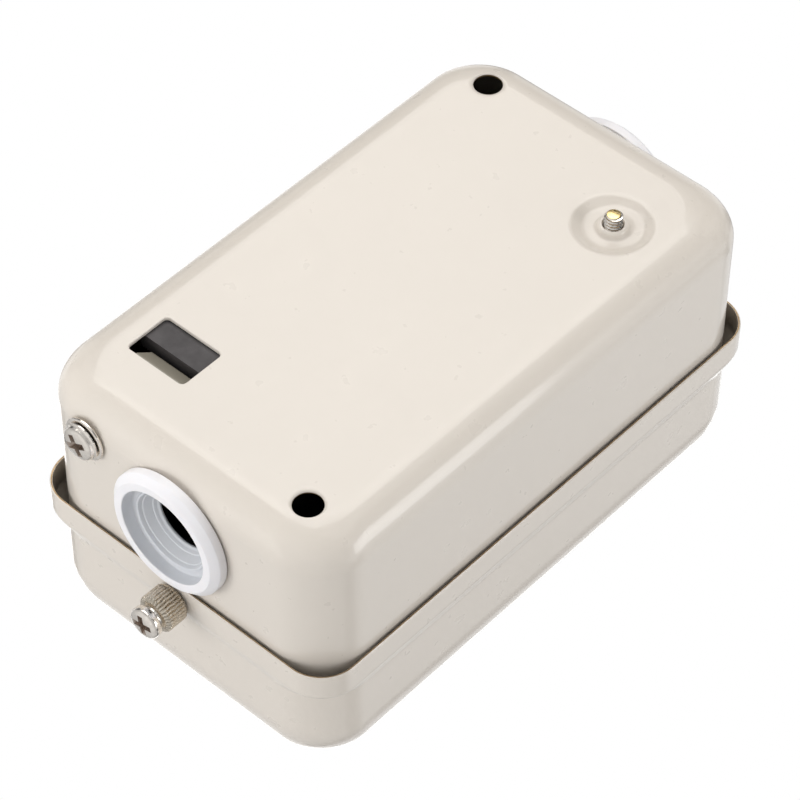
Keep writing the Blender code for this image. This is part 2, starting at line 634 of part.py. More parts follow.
def make_relay_case():
    """The relay's moulded housing and its grey lid, with holes for the dial and the reset."""
    wall = RELAY_WALL
    height = (RELAY_LOW, RELAY_HIGH)
    depth = (RELAY_FRONT, RELAY_BACK)
    housing = unit_block("relay_housing", UNIT_HALF, depth, height, BLACK_PLASTIC)
    depth = (RELAY_FRONT - 2, RELAY_BACK - wall)
    room = unit_block("relay_room", UNIT_HALF - wall, depth, (RELAY_SHELF, RELAY_HIGH - wall))
    cut(housing, room)
    lid_back = RELAY_FRONT - GAP
    depth = (lid_back - LID_THICK, lid_back)
    lid = unit_block("relay_lid", UNIT_HALF, depth, (RELAY_SHELF - 1, RELAY_HIGH), GREY_PLASTIC)
    dial_hole = rod("dial_hole", 2.8, -80, -50, None, (DIAL_X, 0, STOP_Z), Y_AXIS)
    reset_hole = rod("reset_hole", 4.3, -80, -50, None, (0, 0, STOP_Z), Y_AXIS)
    cut(lid, dial_hole, reset_hole)
    return housing


def make_relay_controls():
    """The current dial, the reset plunger and the trip slider."""
    seat = -RELAY_FRONT + GAP + LID_THICK + GAP
    profile = [
        (0, seat + 2.6),
        (5.0, seat + 2.6),
        (5.6, seat + 2.0),
        (5.6, seat),
        (2.5, seat),
        (2.5, seat - 6),
        (0, seat - 6),
    ]
    dial = turned("current_dial", profile, IVORY_PLASTIC, (DIAL_X, 0, STOP_Z), -Y_AXIS)
    tip = seat + RESET_STAND
    profile = [(0, tip), (3.4, tip), (3.9, tip - 0.5), (3.9, seat - 9), (0, seat - 9)]
    plunger = turned("reset_plunger", profile, RED_PLASTIC, (0, 0, STOP_Z), -Y_AXIS)
    low, high = (UNIT_X - 18.5, -52.4, -46.5), (UNIT_X + 16.5, -50.4, -38.5)
    slider = block("trip_slider", low, high, IVORY_PLASTIC)
    return dial, plunger, slider


def make_relay():
    """The thermal overload relay below the contactor: case, controls, strips and motor terminals."""
    housing = make_relay_case()
    dial, plunger, slider = make_relay_controls()
    strip_back = RELAY_BACK - RELAY_WALL - GAP
    for pole, x in enumerate(pole_places(), 1):
        name = f"bimetal_strip_{pole}"
        strip = unit_block(name, 0.5, (-51.6, strip_back), (-45.5, -39.5), ZINC, x)
        blade_z = (-41.0, CONTACTOR_LOW + 3.1)
        join(strip, unit_block(f"link_blade_{pole}", 2, (-49.0, -47.4), blade_z, middle=x))
        slot = unit_block(f"blade_slot_{pole}", 2.3, (-49.3, -47.1), (-22, -14), middle=x)
        bay_y = (RELAY_FRONT - 3, -40.0)
        bay_z = (RELAY_LOW - 3, RELAY_SHELF - 2)
        cut(housing, slot, unit_block(f"motor_bay_{pole}", 4.8, bay_y, bay_z, middle=x))
        low, high = (x - 2.6, -55, -45.9), (x + 0.9, -48, -39.1)
        cut(slider, block(f"strip_notch_{pole}", low, high))
        name = f"motor_terminal_{pole}"
        motor = unit_block(name, 3, (-41.5, -40.3), (-63.4, -52.4), BRASS, x)
        at = (x, 0, -58.0)
        cut(motor, rod(f"motor_hole_{pole}", 1.8, -60, -30, None, at, Y_AXIS, 12))
        clamp_screw(f"{name}_screw", at, 41.5, 40.3)
    return dial, plunger, slider


def make_button(word, finish, z, stand, reach):
    """A push button and its return spring, which stands on the floor of the button's barrel."""
    at = (0, 0, z)
    front = CASE_DEPTH + GAP + PLATE_THICK + stand
    profile = [
        (0, front),
        (BUTTON_RADIUS - 1.6, front),
        (BUTTON_RADIUS, front - 1.2),
        (BUTTON_RADIUS, BUTTON_BACK),
        (STEM_RADIUS, BUTTON_BACK),
        (STEM_RADIUS, reach),
        (0, reach),
    ]
    button = turned(f"{word}_button", profile, finish, at, -Y_AXIS)
    low, high = BARREL_FLOOR + GAP, BUTTON_BACK - GAP
    inner = STEM_RADIUS + 0.6
    name = f"{word}_button_spring"
    spring = tube(name, 6.6, inner, low, high, SPRING_STEEL, at, -Y_AXIS, 12)
    return button, spring


def make_controls():
    """The button plate on the cover, its two buttons and springs, and the start contact block."""
    face = -CASE_DEPTH - GAP
    low, high = (-PLATE_HALF, face - PLATE_THICK, PLATE_LOW), (PLATE_HALF, face, PLATE_HIGH)
    plate = block("button_plate", low, high, GREY_PLASTIC, chamfer=0.8)
    inner, outer = BUTTON_RADIUS + GAP, BARREL_RADIUS
    for z in (START_Z, STOP_Z):
        at = (0, 0, z)
        name = f"barrel_{z:.0f}"
        barrel = tube(name, outer, inner, BARREL_FLOOR - 1.5, CASE_DEPTH + 0.6, None, at, -Y_AXIS, 24)
        low, high = BARREL_FLOOR - 1.5, BARREL_FLOOR
        stem_hole = STEM_RADIUS + 0.5
        floor = tube(f"{name}_floor", outer - 0.6, stem_hole, low, high, None, at, -Y_AXIS, 24)
        cut(plate, rod(f"{name}_bore", inner, 70, 110, None, at, -Y_AXIS, 24))
        join(plate, barrel, floor)
    start, start_spring = make_button("start", GREEN_PLASTIC, START_Z, START_STAND, START_REACH)
    stop, stop_spring = make_button("stop", RED_PLASTIC, STOP_Z, STOP_STAND, STOP_REACH)
    low, high = (-11, -78.0, START_Z - 13), (11, NOSE_FRONT - GAP, START_Z + 13)
    contact = block("start_contact_block", low, high, GREY_PLASTIC)
    at = (0, 0, START_Z)
    cut(contact, rod("start_bore", 3.3, 72, 90, None, at, -Y_AXIS))
    tip = START_REACH - GAP
    profile = [(0, tip), (2.5, tip), (3.0, tip - 0.5), (3.0, 75.8), (0, 75.8)]
    plunger = turned("start_plunger", profile, IVORY_PLASTIC, at, -Y_AXIS)
    return plate, (start, start_spring, stop, stop_spring), plunger


def build():
    """Make every piece and hang the moving ones on their joints' axes."""
    make_base_shell()
    cover = make_cover_shell()
    for end in (-1, 1):
        make_grommet(end)
    hooks = [make_cover_hook(side) for side in (-1, 1)]
    make_earth_screw()
    screw, nut = make_cover_screw()
    make_chassis()
    make_contactor_base()
    armature = make_magnet()
    carrier, bridges = make_carrier()
    make_contactor_head()
    dial, reset_plunger, slider = make_relay()
    plate, (start, start_spring, stop, stop_spring), start_plunger = make_controls()
    hinge = (0, -RIM_EDGE, CASE_HEIGHT / 2 + RIM_OFFSET)
    moving("cover_pivot", hinge, cover, plate, *hooks, start_spring, stop_spring)
    moving("armature_slide", (UNIT_X, YOKE_FRONT, CORE_Z), armature, carrier, *bridges)
    screw_at = (0, COVER_SCREW_Y, -CASE_HEIGHT / 2)
    for name, at, piece in (
        ("cover_screw_axis", screw_at, screw),
        ("cover_nut_axis", screw_at, nut),
        ("dial_axis", (DIAL_X, RELAY_FRONT, STOP_Z), dial),
        ("reset_axis", (0, RELAY_FRONT, STOP_Z), reset_plunger),
        ("trip_axis", (UNIT_X, -51.4, -42.5), slider),
        ("start_button_axis", (0, -CASE_DEPTH, START_Z), start),
        ("stop_button_axis", (0, -CASE_DEPTH, STOP_Z), stop),
        ("start_plunger_axis", (0, NOSE_FRONT, START_Z), start_plunger),
    ):
        moving(name, at, piece)


build()
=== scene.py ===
"""The look of a magnetic motor starter in a two-shell pressed steel case.

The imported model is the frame: +Y points out of the back of the case, which hangs on a wall, -Y
out of its front, and +Z up its long side. Lengths in the classes below are in millimetres.
"""

from __future__ import annotations

import logging
import math
from collections.abc import Callable, Iterable, Sequence
from dataclasses import dataclass, field
from enum import Enum

import bmesh
import bpy
from mathutils import Matrix, Vector


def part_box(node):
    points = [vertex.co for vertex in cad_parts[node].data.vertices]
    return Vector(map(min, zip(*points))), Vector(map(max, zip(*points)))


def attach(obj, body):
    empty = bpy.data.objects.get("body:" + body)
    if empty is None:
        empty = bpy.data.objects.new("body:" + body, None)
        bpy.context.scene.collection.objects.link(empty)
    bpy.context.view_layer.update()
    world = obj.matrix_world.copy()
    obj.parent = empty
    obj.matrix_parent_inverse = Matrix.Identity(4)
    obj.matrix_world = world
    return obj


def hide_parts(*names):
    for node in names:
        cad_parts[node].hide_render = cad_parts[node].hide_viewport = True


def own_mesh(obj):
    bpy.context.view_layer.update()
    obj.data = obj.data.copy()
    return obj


LOG = logging.getLogger("motor_starter")
MM = 0.001
MIDDLE_LOW, MIDDLE_HIGH = 0.3, 0.7
CREASE = 38.0
START_Z, STOP_Z = 20.0, -30.0
Colour = tuple[float, float, float]
Profile = list[tuple[float, float]]
Station = tuple[float, float, float]
Point = tuple[float, float, float]
Socket = bpy.types.NodeSocket
Wobble = Callable[[float, float, float], float]
Sorter = Callable[[Vector], int]


class Axis(Enum):
    """The directions that turned pieces point in."""

    UP = (0.0, 0.0, 1.0)
    DOWN = (0.0, 0.0, -1.0)
    BACK = (0.0, 1.0, 0.0)
    FRONT = (0.0, -1.0, 0.0)

    def turn(self) -> Matrix:
        """The rotation that takes +Z to this axis."""
        return Vector((0, 0, 1)).rotation_difference(Vector(self.value)).to_matrix().to_4x4()


class Body(Enum):
    """The bodies of the frame that pieces ride on."""

    BASE = "base"
    COVER = "cover"
    ARMATURE = "armature"
    START_BUTTON = "start_button"
    STOP_BUTTON = "stop_button"
    START_PLUNGER = "start_plunger"
    RESET_PLUNGER = "reset_plunger"
    CURRENT_DIAL = "current_dial"
    TRIP_SLIDER = "trip_slider"
    COVER_SCREW = "cover_screw"
    COVER_SCREW_NUT = "cover_screw_nut"


# ---- Finishes ----


def add_node(tree: bpy.types.NodeTree, kind: str,
             **sockets: float | Sequence[float] | Socket) -> bpy.types.Node:
    """Add a shader node.

    Args:
        tree: The node tree to add to.
        kind: The node's type, without its ShaderNode prefix.
        sockets: A value or another node's output for each input; underscores stand for spaces.

    Returns:
        The new node.
    """
    node = tree.nodes.new(f"ShaderNode{kind}")
    for key, value in sockets.items():
        socket = node.inputs[key.replace("_", " ").title()]
        if isinstance(value, Socket):
            tree.links.new(value, socket)
        else:
            socket.default_value = value
    return node


class ShaderBench:
    """A new material with a Principled shader, and short calls for the nodes finishes share."""

    def __init__(self, name: str) -> None:
        """Start a material with a name."""
        self.material = bpy.data.materials.new(name)
        self.material.use_nodes = True
        self.tree = self.material.node_tree
        self.shader = self.tree.nodes["Principled BSDF"]
        self.place = add_node(self.tree, "TexCoord").outputs["Object"]

    def set(self, **values: float | Colour) -> None:
        """Set sockets of the shader; underscores in a keyword stand for spaces."""
        for key, value in values.items():
            socket = self.shader.inputs[key.replace("_", " ").title().replace("Ior", "IOR")]
            socket.default_value = value

    def drive(self, name: str, source: Socket) -> None:
        """Feed a socket of the shader."""
        self.tree.links.new(source, self.shader.inputs[name])

    def surface(self, colour: Socket, roughness: Socket, normal: Socket) -> None:
        """Feed the three sockets that every finish drives."""
        for name, source in (("Base Color", colour), ("Roughness", roughness), ("Normal", normal)):
            self.drive(name, source)

    def noise(self, scale: float, detail: float = 3.0, stretch: Colour = (1, 1, 1)) -> Socket:
        """Fractal noise from 0 to 1, with `scale` cells to the metre, finer along stretched axes."""
        place = add_node(self.tree, "Mapping", vector=self.place, scale=stretch).outputs["Vector"]
        return add_node(self.tree, "TexNoise", vector=place, scale=scale, detail=detail).outputs["Fac"]

    def bands(self, scale: float, direction: str, distortion: float) -> Socket:
        """Bands from 0 to 1 across one axis, which wander by the distortion."""
        node = add_node(self.tree, "TexWave", vector=self.place, scale=scale, distortion=distortion)
        node.bands_direction = direction
        return node.outputs["Fac"]

    def spread(self, source: Socket, low: float, high: float) -> Socket:
        """Map a value's middle range onto low to high."""
        ends = {"from_min": MIDDLE_LOW, "from_max": MIDDLE_HIGH, "to_min": low, "to_max": high}
        return add_node(self.tree, "MapRange", value=source, **ends).outputs["Result"]

    def blend(self, factor: Socket, low: Colour, high: Colour) -> Socket:
        """Mix two colours by a value's middle range."""
        node = add_node(self.tree, "ValToRGB", fac=factor)
        first, last = node.color_ramp.elements
        first.position, last.position = MIDDLE_LOW, MIDDLE_HIGH
        first.color, last.color = (*low, 1.0), (*high, 1.0)
        return node.outputs["Color"]

    def worn(self, scale: float, roughness: float, smoother: float, rougher: float) -> Socket:
        """A patchy roughness that goes a little below and above a finish's own."""
        return self.spread(self.noise(scale), roughness - smoother, roughness + rougher)

    def bump(self, height: Socket, distance: float, strength: float,
             under: Socket | None = None) -> Socket:
        """Raise the surface by some millimetres, over the coarser bump whose normal is `under`."""
        below = {"normal": under} if under else {}
        values = {"distance": distance * MM, "strength": strength}
        return add_node(self.tree, "Bump", height=height, **values, **below).outputs["Normal"]


def shade(colour: Colour, factor: float) -> Colour:
    """A colour made lighter or darker."""
    return tuple(min(part * factor, 1.0) for part in colour)


@dataclass(frozen=True)
class Finish:
    """A surface finish; `slot` is the record's material slot it stands for."""

    name: str
    slot: str
    colour: Colour

    def material(self) -> bpy.types.Material:
        """The finish's material, made once."""
        name = f"{self.name}_finish"
        found = bpy.data.materials.get(name)
        if found:
            return found
        bench = ShaderBench(name)
        self.dress(bench)
        bench.material.diffuse_color = (*self.colour, 1.0)
        return bench.material

    def dress(self, bench: ShaderBench) -> None:
        """Build the finish's nodes; each kind of finish has its own."""
        raise NotImplementedError


@dataclass(frozen=True)
class Enamel(Finish):
    """Stoved gloss enamel on sheet steel: orange peel, faint clouding and a hard clear skin."""

    roughness: float = 0.30
    peel: float = 0.012

    def dress(self, bench: ShaderBench) -> None:
        """Build the enamel's nodes."""
        cloud = bench.blend(bench.noise(38, 4), shade(self.colour, 0.985), self.colour)
        peel = bench.bump(bench.noise(300, 0), self.peel, 0.35)
        bench.surface(cloud, bench.worn(220, self.roughness, 0.03, 0.04), peel)
        bench.set(coat_weight=0.5, coat_roughness=0.08, coat_ior=1.5)


@dataclass(frozen=True)
class Plating(Finish):
    """Plated or bare metal: cloudy tarnish, fine scuffs and a slightly uneven polish."""

    roughness: float = 0.22
    tarnish: Colour = (0.5, 0.45, 0.38)
    scuff: float = 0.004
    stretch: Colour = (1.0, 1.0, 1.0)
    waves: float = 0.0

    def dress(self, bench: ShaderBench) -> None:
        """Build the metal's nodes."""
        dull = tuple(0.72 * c + 0.28 * t for c, t in zip(self.colour, self.tarnish))
        cloud = bench.blend(bench.noise(900, 5), dull, self.colour)
        polish = bench.noise(1700, 4, self.stretch)
        worn = bench.spread(polish, self.roughness * 0.7, self.roughness * 1.6)
        waves = bench.bump(bench.noise(520, 1), self.waves, 0.8)
        scuffs = bench.bump(bench.noise(4200, 3, self.stretch), self.scuff, 0.6, waves)
        bench.surface(cloud, worn, scuffs)
        bench.set(metallic=1.0)


@dataclass(frozen=True)
class Moulding(Finish):
    """Moulded plastic with a fine spark-eroded grain and faint flow clouds."""

    roughness: float = 0.5
    grain: float = 0.012
    grain_scale: float = 2600.0
    cloud: float = 0.12

    def dress(self, bench: ShaderBench) -> None:
        """Build the plastic's nodes."""
        low, high = shade(self.colour, 1 - self.cloud), shade(self.colour, 1 + self.cloud)
        flow = bench.blend(bench.noise(90, 4), low, high)
        grain = bench.bump(bench.noise(self.grain_scale), self.grain, 0.8)
        bench.surface(flow, bench.worn(500, self.roughness, 0.06, 0.08), grain)


@dataclass(frozen=True)
class MilkyPlastic(Finish):
    """Soft translucent plastic: light soaks in and comes out bluish white."""

    roughness: float = 0.34
    soak: Colour = (0.8, 0.9, 1.0)

    def dress(self, bench: ShaderBench) -> None:
        """Build the plastic's nodes."""
        flow = bench.blend(bench.noise(160), shade(self.colour, 0.97), self.colour)
        ripple = bench.bump(bench.noise(520, 2), 0.01, 0.5)
        bench.surface(flow, bench.worn(700, self.roughness, 0.05, 0.08), ripple)
        bench.set(subsurface_weight=0.2, subsurface_radius=self.soak, subsurface_scale=1.2 * MM)


@dataclass(frozen=True)
class LayeredMetal(Finish):
    """Stacked steel stampings: the sheets' edges show as fine lines."""

    roughness: float = 0.42
    sheet_scale: float = 640.0
    direction: str = "X"

    def dress(self, bench: ShaderBench) -> None:
        """Build the stack's nodes."""
        sheets = bench.bands(self.sheet_scale, self.direction, 0.4)
        edges = bench.blend(sheets, shade(self.colour, 0.55), self.colour)
        worn = bench.worn(1500, self.roughness, 0.08, 0.1)
        bench.surface(edges, worn, bench.bump(sheets, 0.05, 0.6))
        bench.set(metallic=0.9)


@dataclass(frozen=True)
class WoundWire(Finish):
    """Varnished magnet wire in close turns under clear tape."""

    roughness: float = 0.32
    turn_scale: float = 620.0

    def dress(self, bench: ShaderBench) -> None:
        """Build the winding's nodes."""
        turns = bench.bands(self.turn_scale, "Y", 0.8)
        wires = bench.blend(turns, shade(self.colour, 0.45), self.colour)
        worn = bench.worn(800, self.roughness, 0.06, 0.1)
        bench.surface(wires, worn, bench.bump(turns, 0.12, 0.8))
        bench.set(coat_weight=0.4, coat_roughness=0.15)


CASE_ENAMEL = Enamel("case_enamel", "case_paint", (0.70, 0.645, 0.578))
# Darker enamel on the shells' insides: painted shade.
INNER_SHADE_ENAMEL = Enamel("inner_painted_shade_enamel", "case_paint", (0.34, 0.30, 0.25), 0.45)
# Darker enamel on the window's lug: painted shade where it bends in behind the window.
LUG_SHADE_ENAMEL = Enamel("lug_painted_shade_enamel", "case_paint", (0.285, 0.26, 0.21), 0.4)
# Bare cut steel for sheet edges and hole walls; on the starter screw's thread roots it is painted shade.
BARE_EDGE_AND_ROOT_SHADE = Plating("bare_edge_and_root_shade", "case_paint", (0.42, 0.29, 0.15), 0.45, (0.12, 0.07, 0.04), 0.02)
# A darker copy of the grommet plastic for its recess and funnel: painted shade.
GROMMET_THROAT_SHADE = MilkyPlastic("grommet_throat_painted_shade", "grommet_plastic", (0.64, 0.655, 0.685))
GROMMET = MilkyPlastic("grommet_plastic", "grommet_plastic", (0.85, 0.84, 0.86))
NICKEL = Plating("bright_nickel", "nickel_plate", (0.92, 0.875, 0.815), 0.16, (0.46, 0.39, 0.33),
                 waves=0.14)
# Dark plating for the walls of the cross recesses: painted shade.
RECESS_SHADE = Plating("recess_painted_shade_plating", "nickel_plate", (0.46, 0.39, 0.34), 0.30, (0.16, 0.12, 0.09), 0.01)
# A rougher nickel for the knurled collar, darkened as painted shade of its ridges.
KNURL_SHADE_NICKEL = Plating("knurled_nickel_painted_shade", "nickel_plate", (0.68, 0.62, 0.53), 0.27,
                         (0.34, 0.28, 0.20), 0.01)
ZINC = Plating("zinc", "zinc_plate", (0.66, 0.67, 0.68), 0.34, (0.45, 0.46, 0.50))
GOLD_ZINC = Plating("yellow_passivated", "brass_screw", (0.90, 0.70, 0.34), 0.24, (0.60, 0.42, 0.15))
SCREW_STEEL = Plating("clamp_screw_steel", "screw_steel", (0.62, 0.62, 0.62), 0.32, (0.42, 0.40, 0.38))
BLACK = Moulding("black_moulding", "black_moulding", (0.042, 0.040, 0.041), 0.52, 0.03, 1900.0, 0.25)
FOOT_BLACK = Moulding("matt_foot_moulding", "black_moulding", (0.068, 0.062, 0.064),
                      0.62, 0.05, 1500.0, 0.25)
GREY = Moulding("grey_moulding", "grey_moulding", (0.20, 0.21, 0.22), 0.48)
IVORY = Moulding("ivory_moulding", "ivory_moulding", (0.66, 0.62, 0.52), 0.42, 0.006, 1800.0, 0.05)
GREEN = Moulding("green_button", "green_button", (0.02, 0.25, 0.07), 0.30, 0.004, 1500.0, 0.08)
RED = Moulding("red_button", "red_button", (0.52, 0.015, 0.012), 0.30, 0.004, 1500.0, 0.08)
CORE = LayeredMetal("core_laminations", "core_steel", (0.36, 0.37, 0.39))
WINDING = WoundWire("coil_winding", "winding", (0.58, 0.26, 0.07))
SPRING = Plating("spring_wire", "spring_steel", (0.58, 0.57, 0.56), 0.28, (0.32, 0.30, 0.27))
COPPER = Plating("contact_copper", "contact_copper", (0.74, 0.38, 0.22), 0.30, (0.38, 0.20, 0.12))
BIMETAL = Plating("bimetal", "bimetal", (0.64, 0.60, 0.52), 0.34, (0.44, 0.40, 0.33), 0.006, (1, 8, 1))
BRASS = Plating("terminal_brass", "terminal_brass", (0.80, 0.60, 0.28), 0.27, (0.50, 0.33, 0.14))


# ---- Making meshes ----


@dataclass
class Workshop:
    """Makes meshes in millimetres and hands them over as finished, riding pieces."""

    made: list[str] = field(default_factory=list)

    def piece(self, name: str, bm: bmesh.types.BMesh, finishes: Sequence[Finish],
              crease: float = CREASE) -> bpy.types.Object:
        """Turn a bmesh into a smooth-shaded object in metres.

        Args:
            name: The object's name.
            bm: Its mesh in millimetres; it is freed.
            finishes: Its materials, in the order its faces number them.
            crease: Edges sharper than this many degrees stay sharp.

        Returns:
            The new object.
        """
        bmesh.ops.recalc_face_normals(bm, faces=bm.faces)
        bmesh.ops.scale(bm, vec=(MM, MM, MM), verts=bm.verts)
        mesh = bpy.data.meshes.new(name)
        bm.to_mesh(mesh)
        bm.free()
        for finish in finishes:
            mesh.materials.append(finish.material())
        mesh.shade_smooth()
        mesh.set_sharp_from_angle(angle=math.radians(crease))
        obj = bpy.data.objects.new(name, mesh)
        bpy.context.scene.collection.objects.link(obj)
        return obj

    def lathe(self, name: str, profile: Profile, at: Sequence[float], axis: Axis,
              finishes: Sequence[Finish], sides: int = 72, crease: float = CREASE,
              wobble: Wobble | None = None, sort: Sorter | None = None) -> bpy.types.Object:
        """Make a turned piece.

        Args:
            name: The object's name.
            profile: Its (radius, height) points, as `turned` takes them.
            at: The point that height 0 stands on.
            axis: The direction of height.
            finishes: Its materials.
            sides: Segments around.
            crease: Edges sharper than this many degrees stay sharp.
            wobble: Gives a change of radius, as `turned` takes it.
            sort: Gives the number of a face's finish from the face's middle.

        Returns:
            The new object.
        """
        bm = bmesh.new()
        turned(bm, profile, at, axis, sides, wobble)
        if sort:
            for face in bm.faces:
                face.material_index = sort(face.calc_center_median())
        return self.piece(name, bm, finishes, crease)

    def flatten_shading(self, obj: bpy.types.Object) -> None:
        """Let a piece's large flats keep their own shading where they run into rounded edges."""
        weighted = obj.modifiers.new("flats", "WEIGHTED_NORMAL")
        weighted.mode = "FACE_AREA"
        weighted.weight = 80
        weighted.keep_sharp = True

    def hand_over(self, obj: bpy.types.Object, body: Body, finish: Finish, *nodes: str) -> None:
        """Let a finished piece ride on a body, in place of its CAD nodes.

        Args:
            obj: The piece.
            body: The body it rides on.
            finish: Not used.
            nodes: The CAD nodes that it stands for.
        """
        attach(obj, body.value)
        if nodes:
            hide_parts(*nodes)
        self.made.append(obj.name)
        LOG.info("%s rides on %s", obj.name, body.value)

    def cut(self, target: bpy.types.Object, *cutters: bpy.types.Object) -> None:
        """Cut shapes out of a piece, apply the cuts and drop the cutters.

        Args:
            target: The piece to cut.
            cutters: The shapes to take away.
        """
        for cutter in cutters:
            modifier = target.modifiers.new(cutter.name, "BOOLEAN")
            modifier.operation = "DIFFERENCE"
            modifier.solver = "EXACT"
            modifier.object = cutter
        graph = bpy.context.evaluated_depsgraph_get()
        settled = bpy.data.meshes.new_from_object(target.evaluated_get(graph))
        target.modifiers.clear()
        old, target.data = target.data, settled
        settled.name = target.name
        bpy.data.meshes.remove(old)
        for cutter in cutters:
            bpy.data.objects.remove(cutter, do_unlink=True)
        target.data.shade_smooth()
        target.data.set_sharp_from_angle(angle=math.radians(CREASE))


def outline(half_x: float, half_z: float, radius: float, steps: int = 14) -> Profile:
    """The points of a rounded rectangle, anticlockwise."""
    points = []
    for quarter, (sx, sz) in enumerate(((1, 1), (-1, 1), (-1, -1), (1, -1))):
        for step in range(steps + 1):
            angle = math.radians(90 * (quarter + step / steps))
            x = sx * (half_x - radius) + radius * math.cos(angle)
            points.append((x, sz * (half_z - radius) + radius * math.sin(angle)))
    return points


def soften(points: Profile, radius: float, steps: int = 3, closed: bool = False) -> Profile:
    """Round the corners of a profile.

    Args:
        points: The profile's corners.
        radius: The rounding, less where a side is short.
        steps: Segments on each round.
        closed: Whether the last point joins the first.

    Returns:
        The rounded profile.
    """
    rounded: Profile = []
    count = len(points)
    for i, point in enumerate(points):
        if not closed and i in (0, count - 1):
            rounded.append(point)
            continue
        corner = Vector(point)
        before, after = Vector(points[i - 1]) - corner, Vector(points[(i + 1) % count]) - corner
        if before.length < 1e-6 or after.length < 1e-6:
            rounded.append(point)
            continue
        angle = before.angle(after)
        if angle > math.radians(172):
            rounded.append(point)
            continue
        reach = min(radius / math.tan(angle / 2), before.length * 0.45, after.length * 0.45)
        start, end = corner + before.normalized() * reach, corner + after.normalized() * reach
        for step in range(steps + 1):
            t = step / steps
            rounded.append(tuple((1 - t) ** 2 * start + 2 * t * (1 - t) * corner + t * t * end))
    return rounded


def run_at(points: Sequence[Sequence[float]], i: int) -> Vector:
    """The unit direction of a row of points at one of them, by their first two numbers."""
    before, after = points[max(i - 1, 0)], points[min(i + 1, len(points) - 1)]
    return Vector((after[0] - before[0], after[1] - before[1])).normalized()


def loft(bm: bmesh.types.BMesh, rings: Sequence[Sequence[Sequence[float]]], capped: bool = True,
         closed: bool = False, edge_rings: Iterable[int] = (), inner_rings: Iterable[int] = ()) -> None:
    """Skin a row of rings that have the same number of points.

    Args:
        bm: The mesh to add to.
        rings: The rings' points.
        capped: Whether the first and last rings are filled.
        closed: Whether the last ring joins the first.
        edge_rings: The bands, counted from 0, that take the second material.
        inner_rings: The bands that take the third material. The last ring's cap goes with them.
    """
    verts = [[bm.verts.new(point) for point in ring] for ring in rings]
    pairs = list(zip(verts, verts[1:] + verts[:1] if closed else verts[1:]))
    for band, (ring, following) in enumerate(pairs):
        for i, corner in enumerate(ring):
            j = (i + 1) % len(ring)
            face = bm.faces.new((corner, ring[j], following[j], following[i]))
            face.material_index = 1 if band in edge_rings else 2 if band in inner_rings else 0
    if capped and not closed:
        bm.faces.new(verts[0][::-1])
        bm.faces.new(verts[-1]).material_index = 2 if inner_rings else 0


def turned(bm: bmesh.types.BMesh, profile: Profile, at: Sequence[float], axis: Axis, sides: int = 72,
           wobble: Wobble | None = None) -> None:
    """Add a turned shape.

    Args:
        bm: The mesh to add to.
        profile: (radius, height) points; one that starts and ends off the axis is closed into a ring.
        at: The point that height 0 stands on.
        axis: The direction of height.
        sides: Segments around.
        wobble: Gives a change of radius for (angle, radius, height), for knurls and threads.
    """
    place = Matrix.Translation(Vector(at)) @ axis.turn()
    ring_shape = profile[0][0] > 1e-6 and profile[-1][0] > 1e-6
    body = profile if ring_shape else [p for p in profile if p[0] > 1e-6]
    rings = []
    for radius, height in body:
        ring = []
        for side in range(sides):
            angle = math.tau * side / sides
            r = radius + (wobble(angle, radius, height) if wobble else 0.0)
            ring.append(place @ Vector((r * math.cos(angle), r * math.sin(angle), height)))
        rings.append(ring)
    loft(bm, rings, capped=not ring_shape, closed=ring_shape)


def coil(bm: bmesh.types.BMesh, at: Sequence[float], axis: Axis, length: float, radius: float,
         wire: float, turns: float, start: float) -> None:
    """Add a helical spring.

    Args:
        bm: The mesh to add to.
        at: A point on its axis.
        axis: Its axis.
        length: From end to end, over the wire.
        radius: To the middle of the wire.
        wire: The wire's radius.
        turns: How many turns, the two flat end turns included.
        start: Where its first end lies along the axis, from `at`.
    """
    place = Matrix.Translation(Vector(at)) @ axis.turn()
    steps = round(turns * 22)
    flat = 0.75 / turns
    rings = []
    for step in range(steps + 1):
        t = step / steps
        angle = math.tau * turns * t
        rise = min(max((t - flat) / (1 - 2 * flat), 0.0), 1.0)
        height = start + wire + (length - 2 * wire) * rise
        outward = Vector((math.cos(angle), math.sin(angle), 0))
        centre = outward * radius + Vector((0, 0, height))
        ring = []
        for side in range(8):
            tilt = math.tau * side / 8
            lift = Vector((0, 0, wire * math.sin(tilt)))
            ring.append(place @ (centre + outward * wire * math.cos(tilt) + lift))
        rings.append(ring)
    loft(bm, rings)


# ---- The case ----


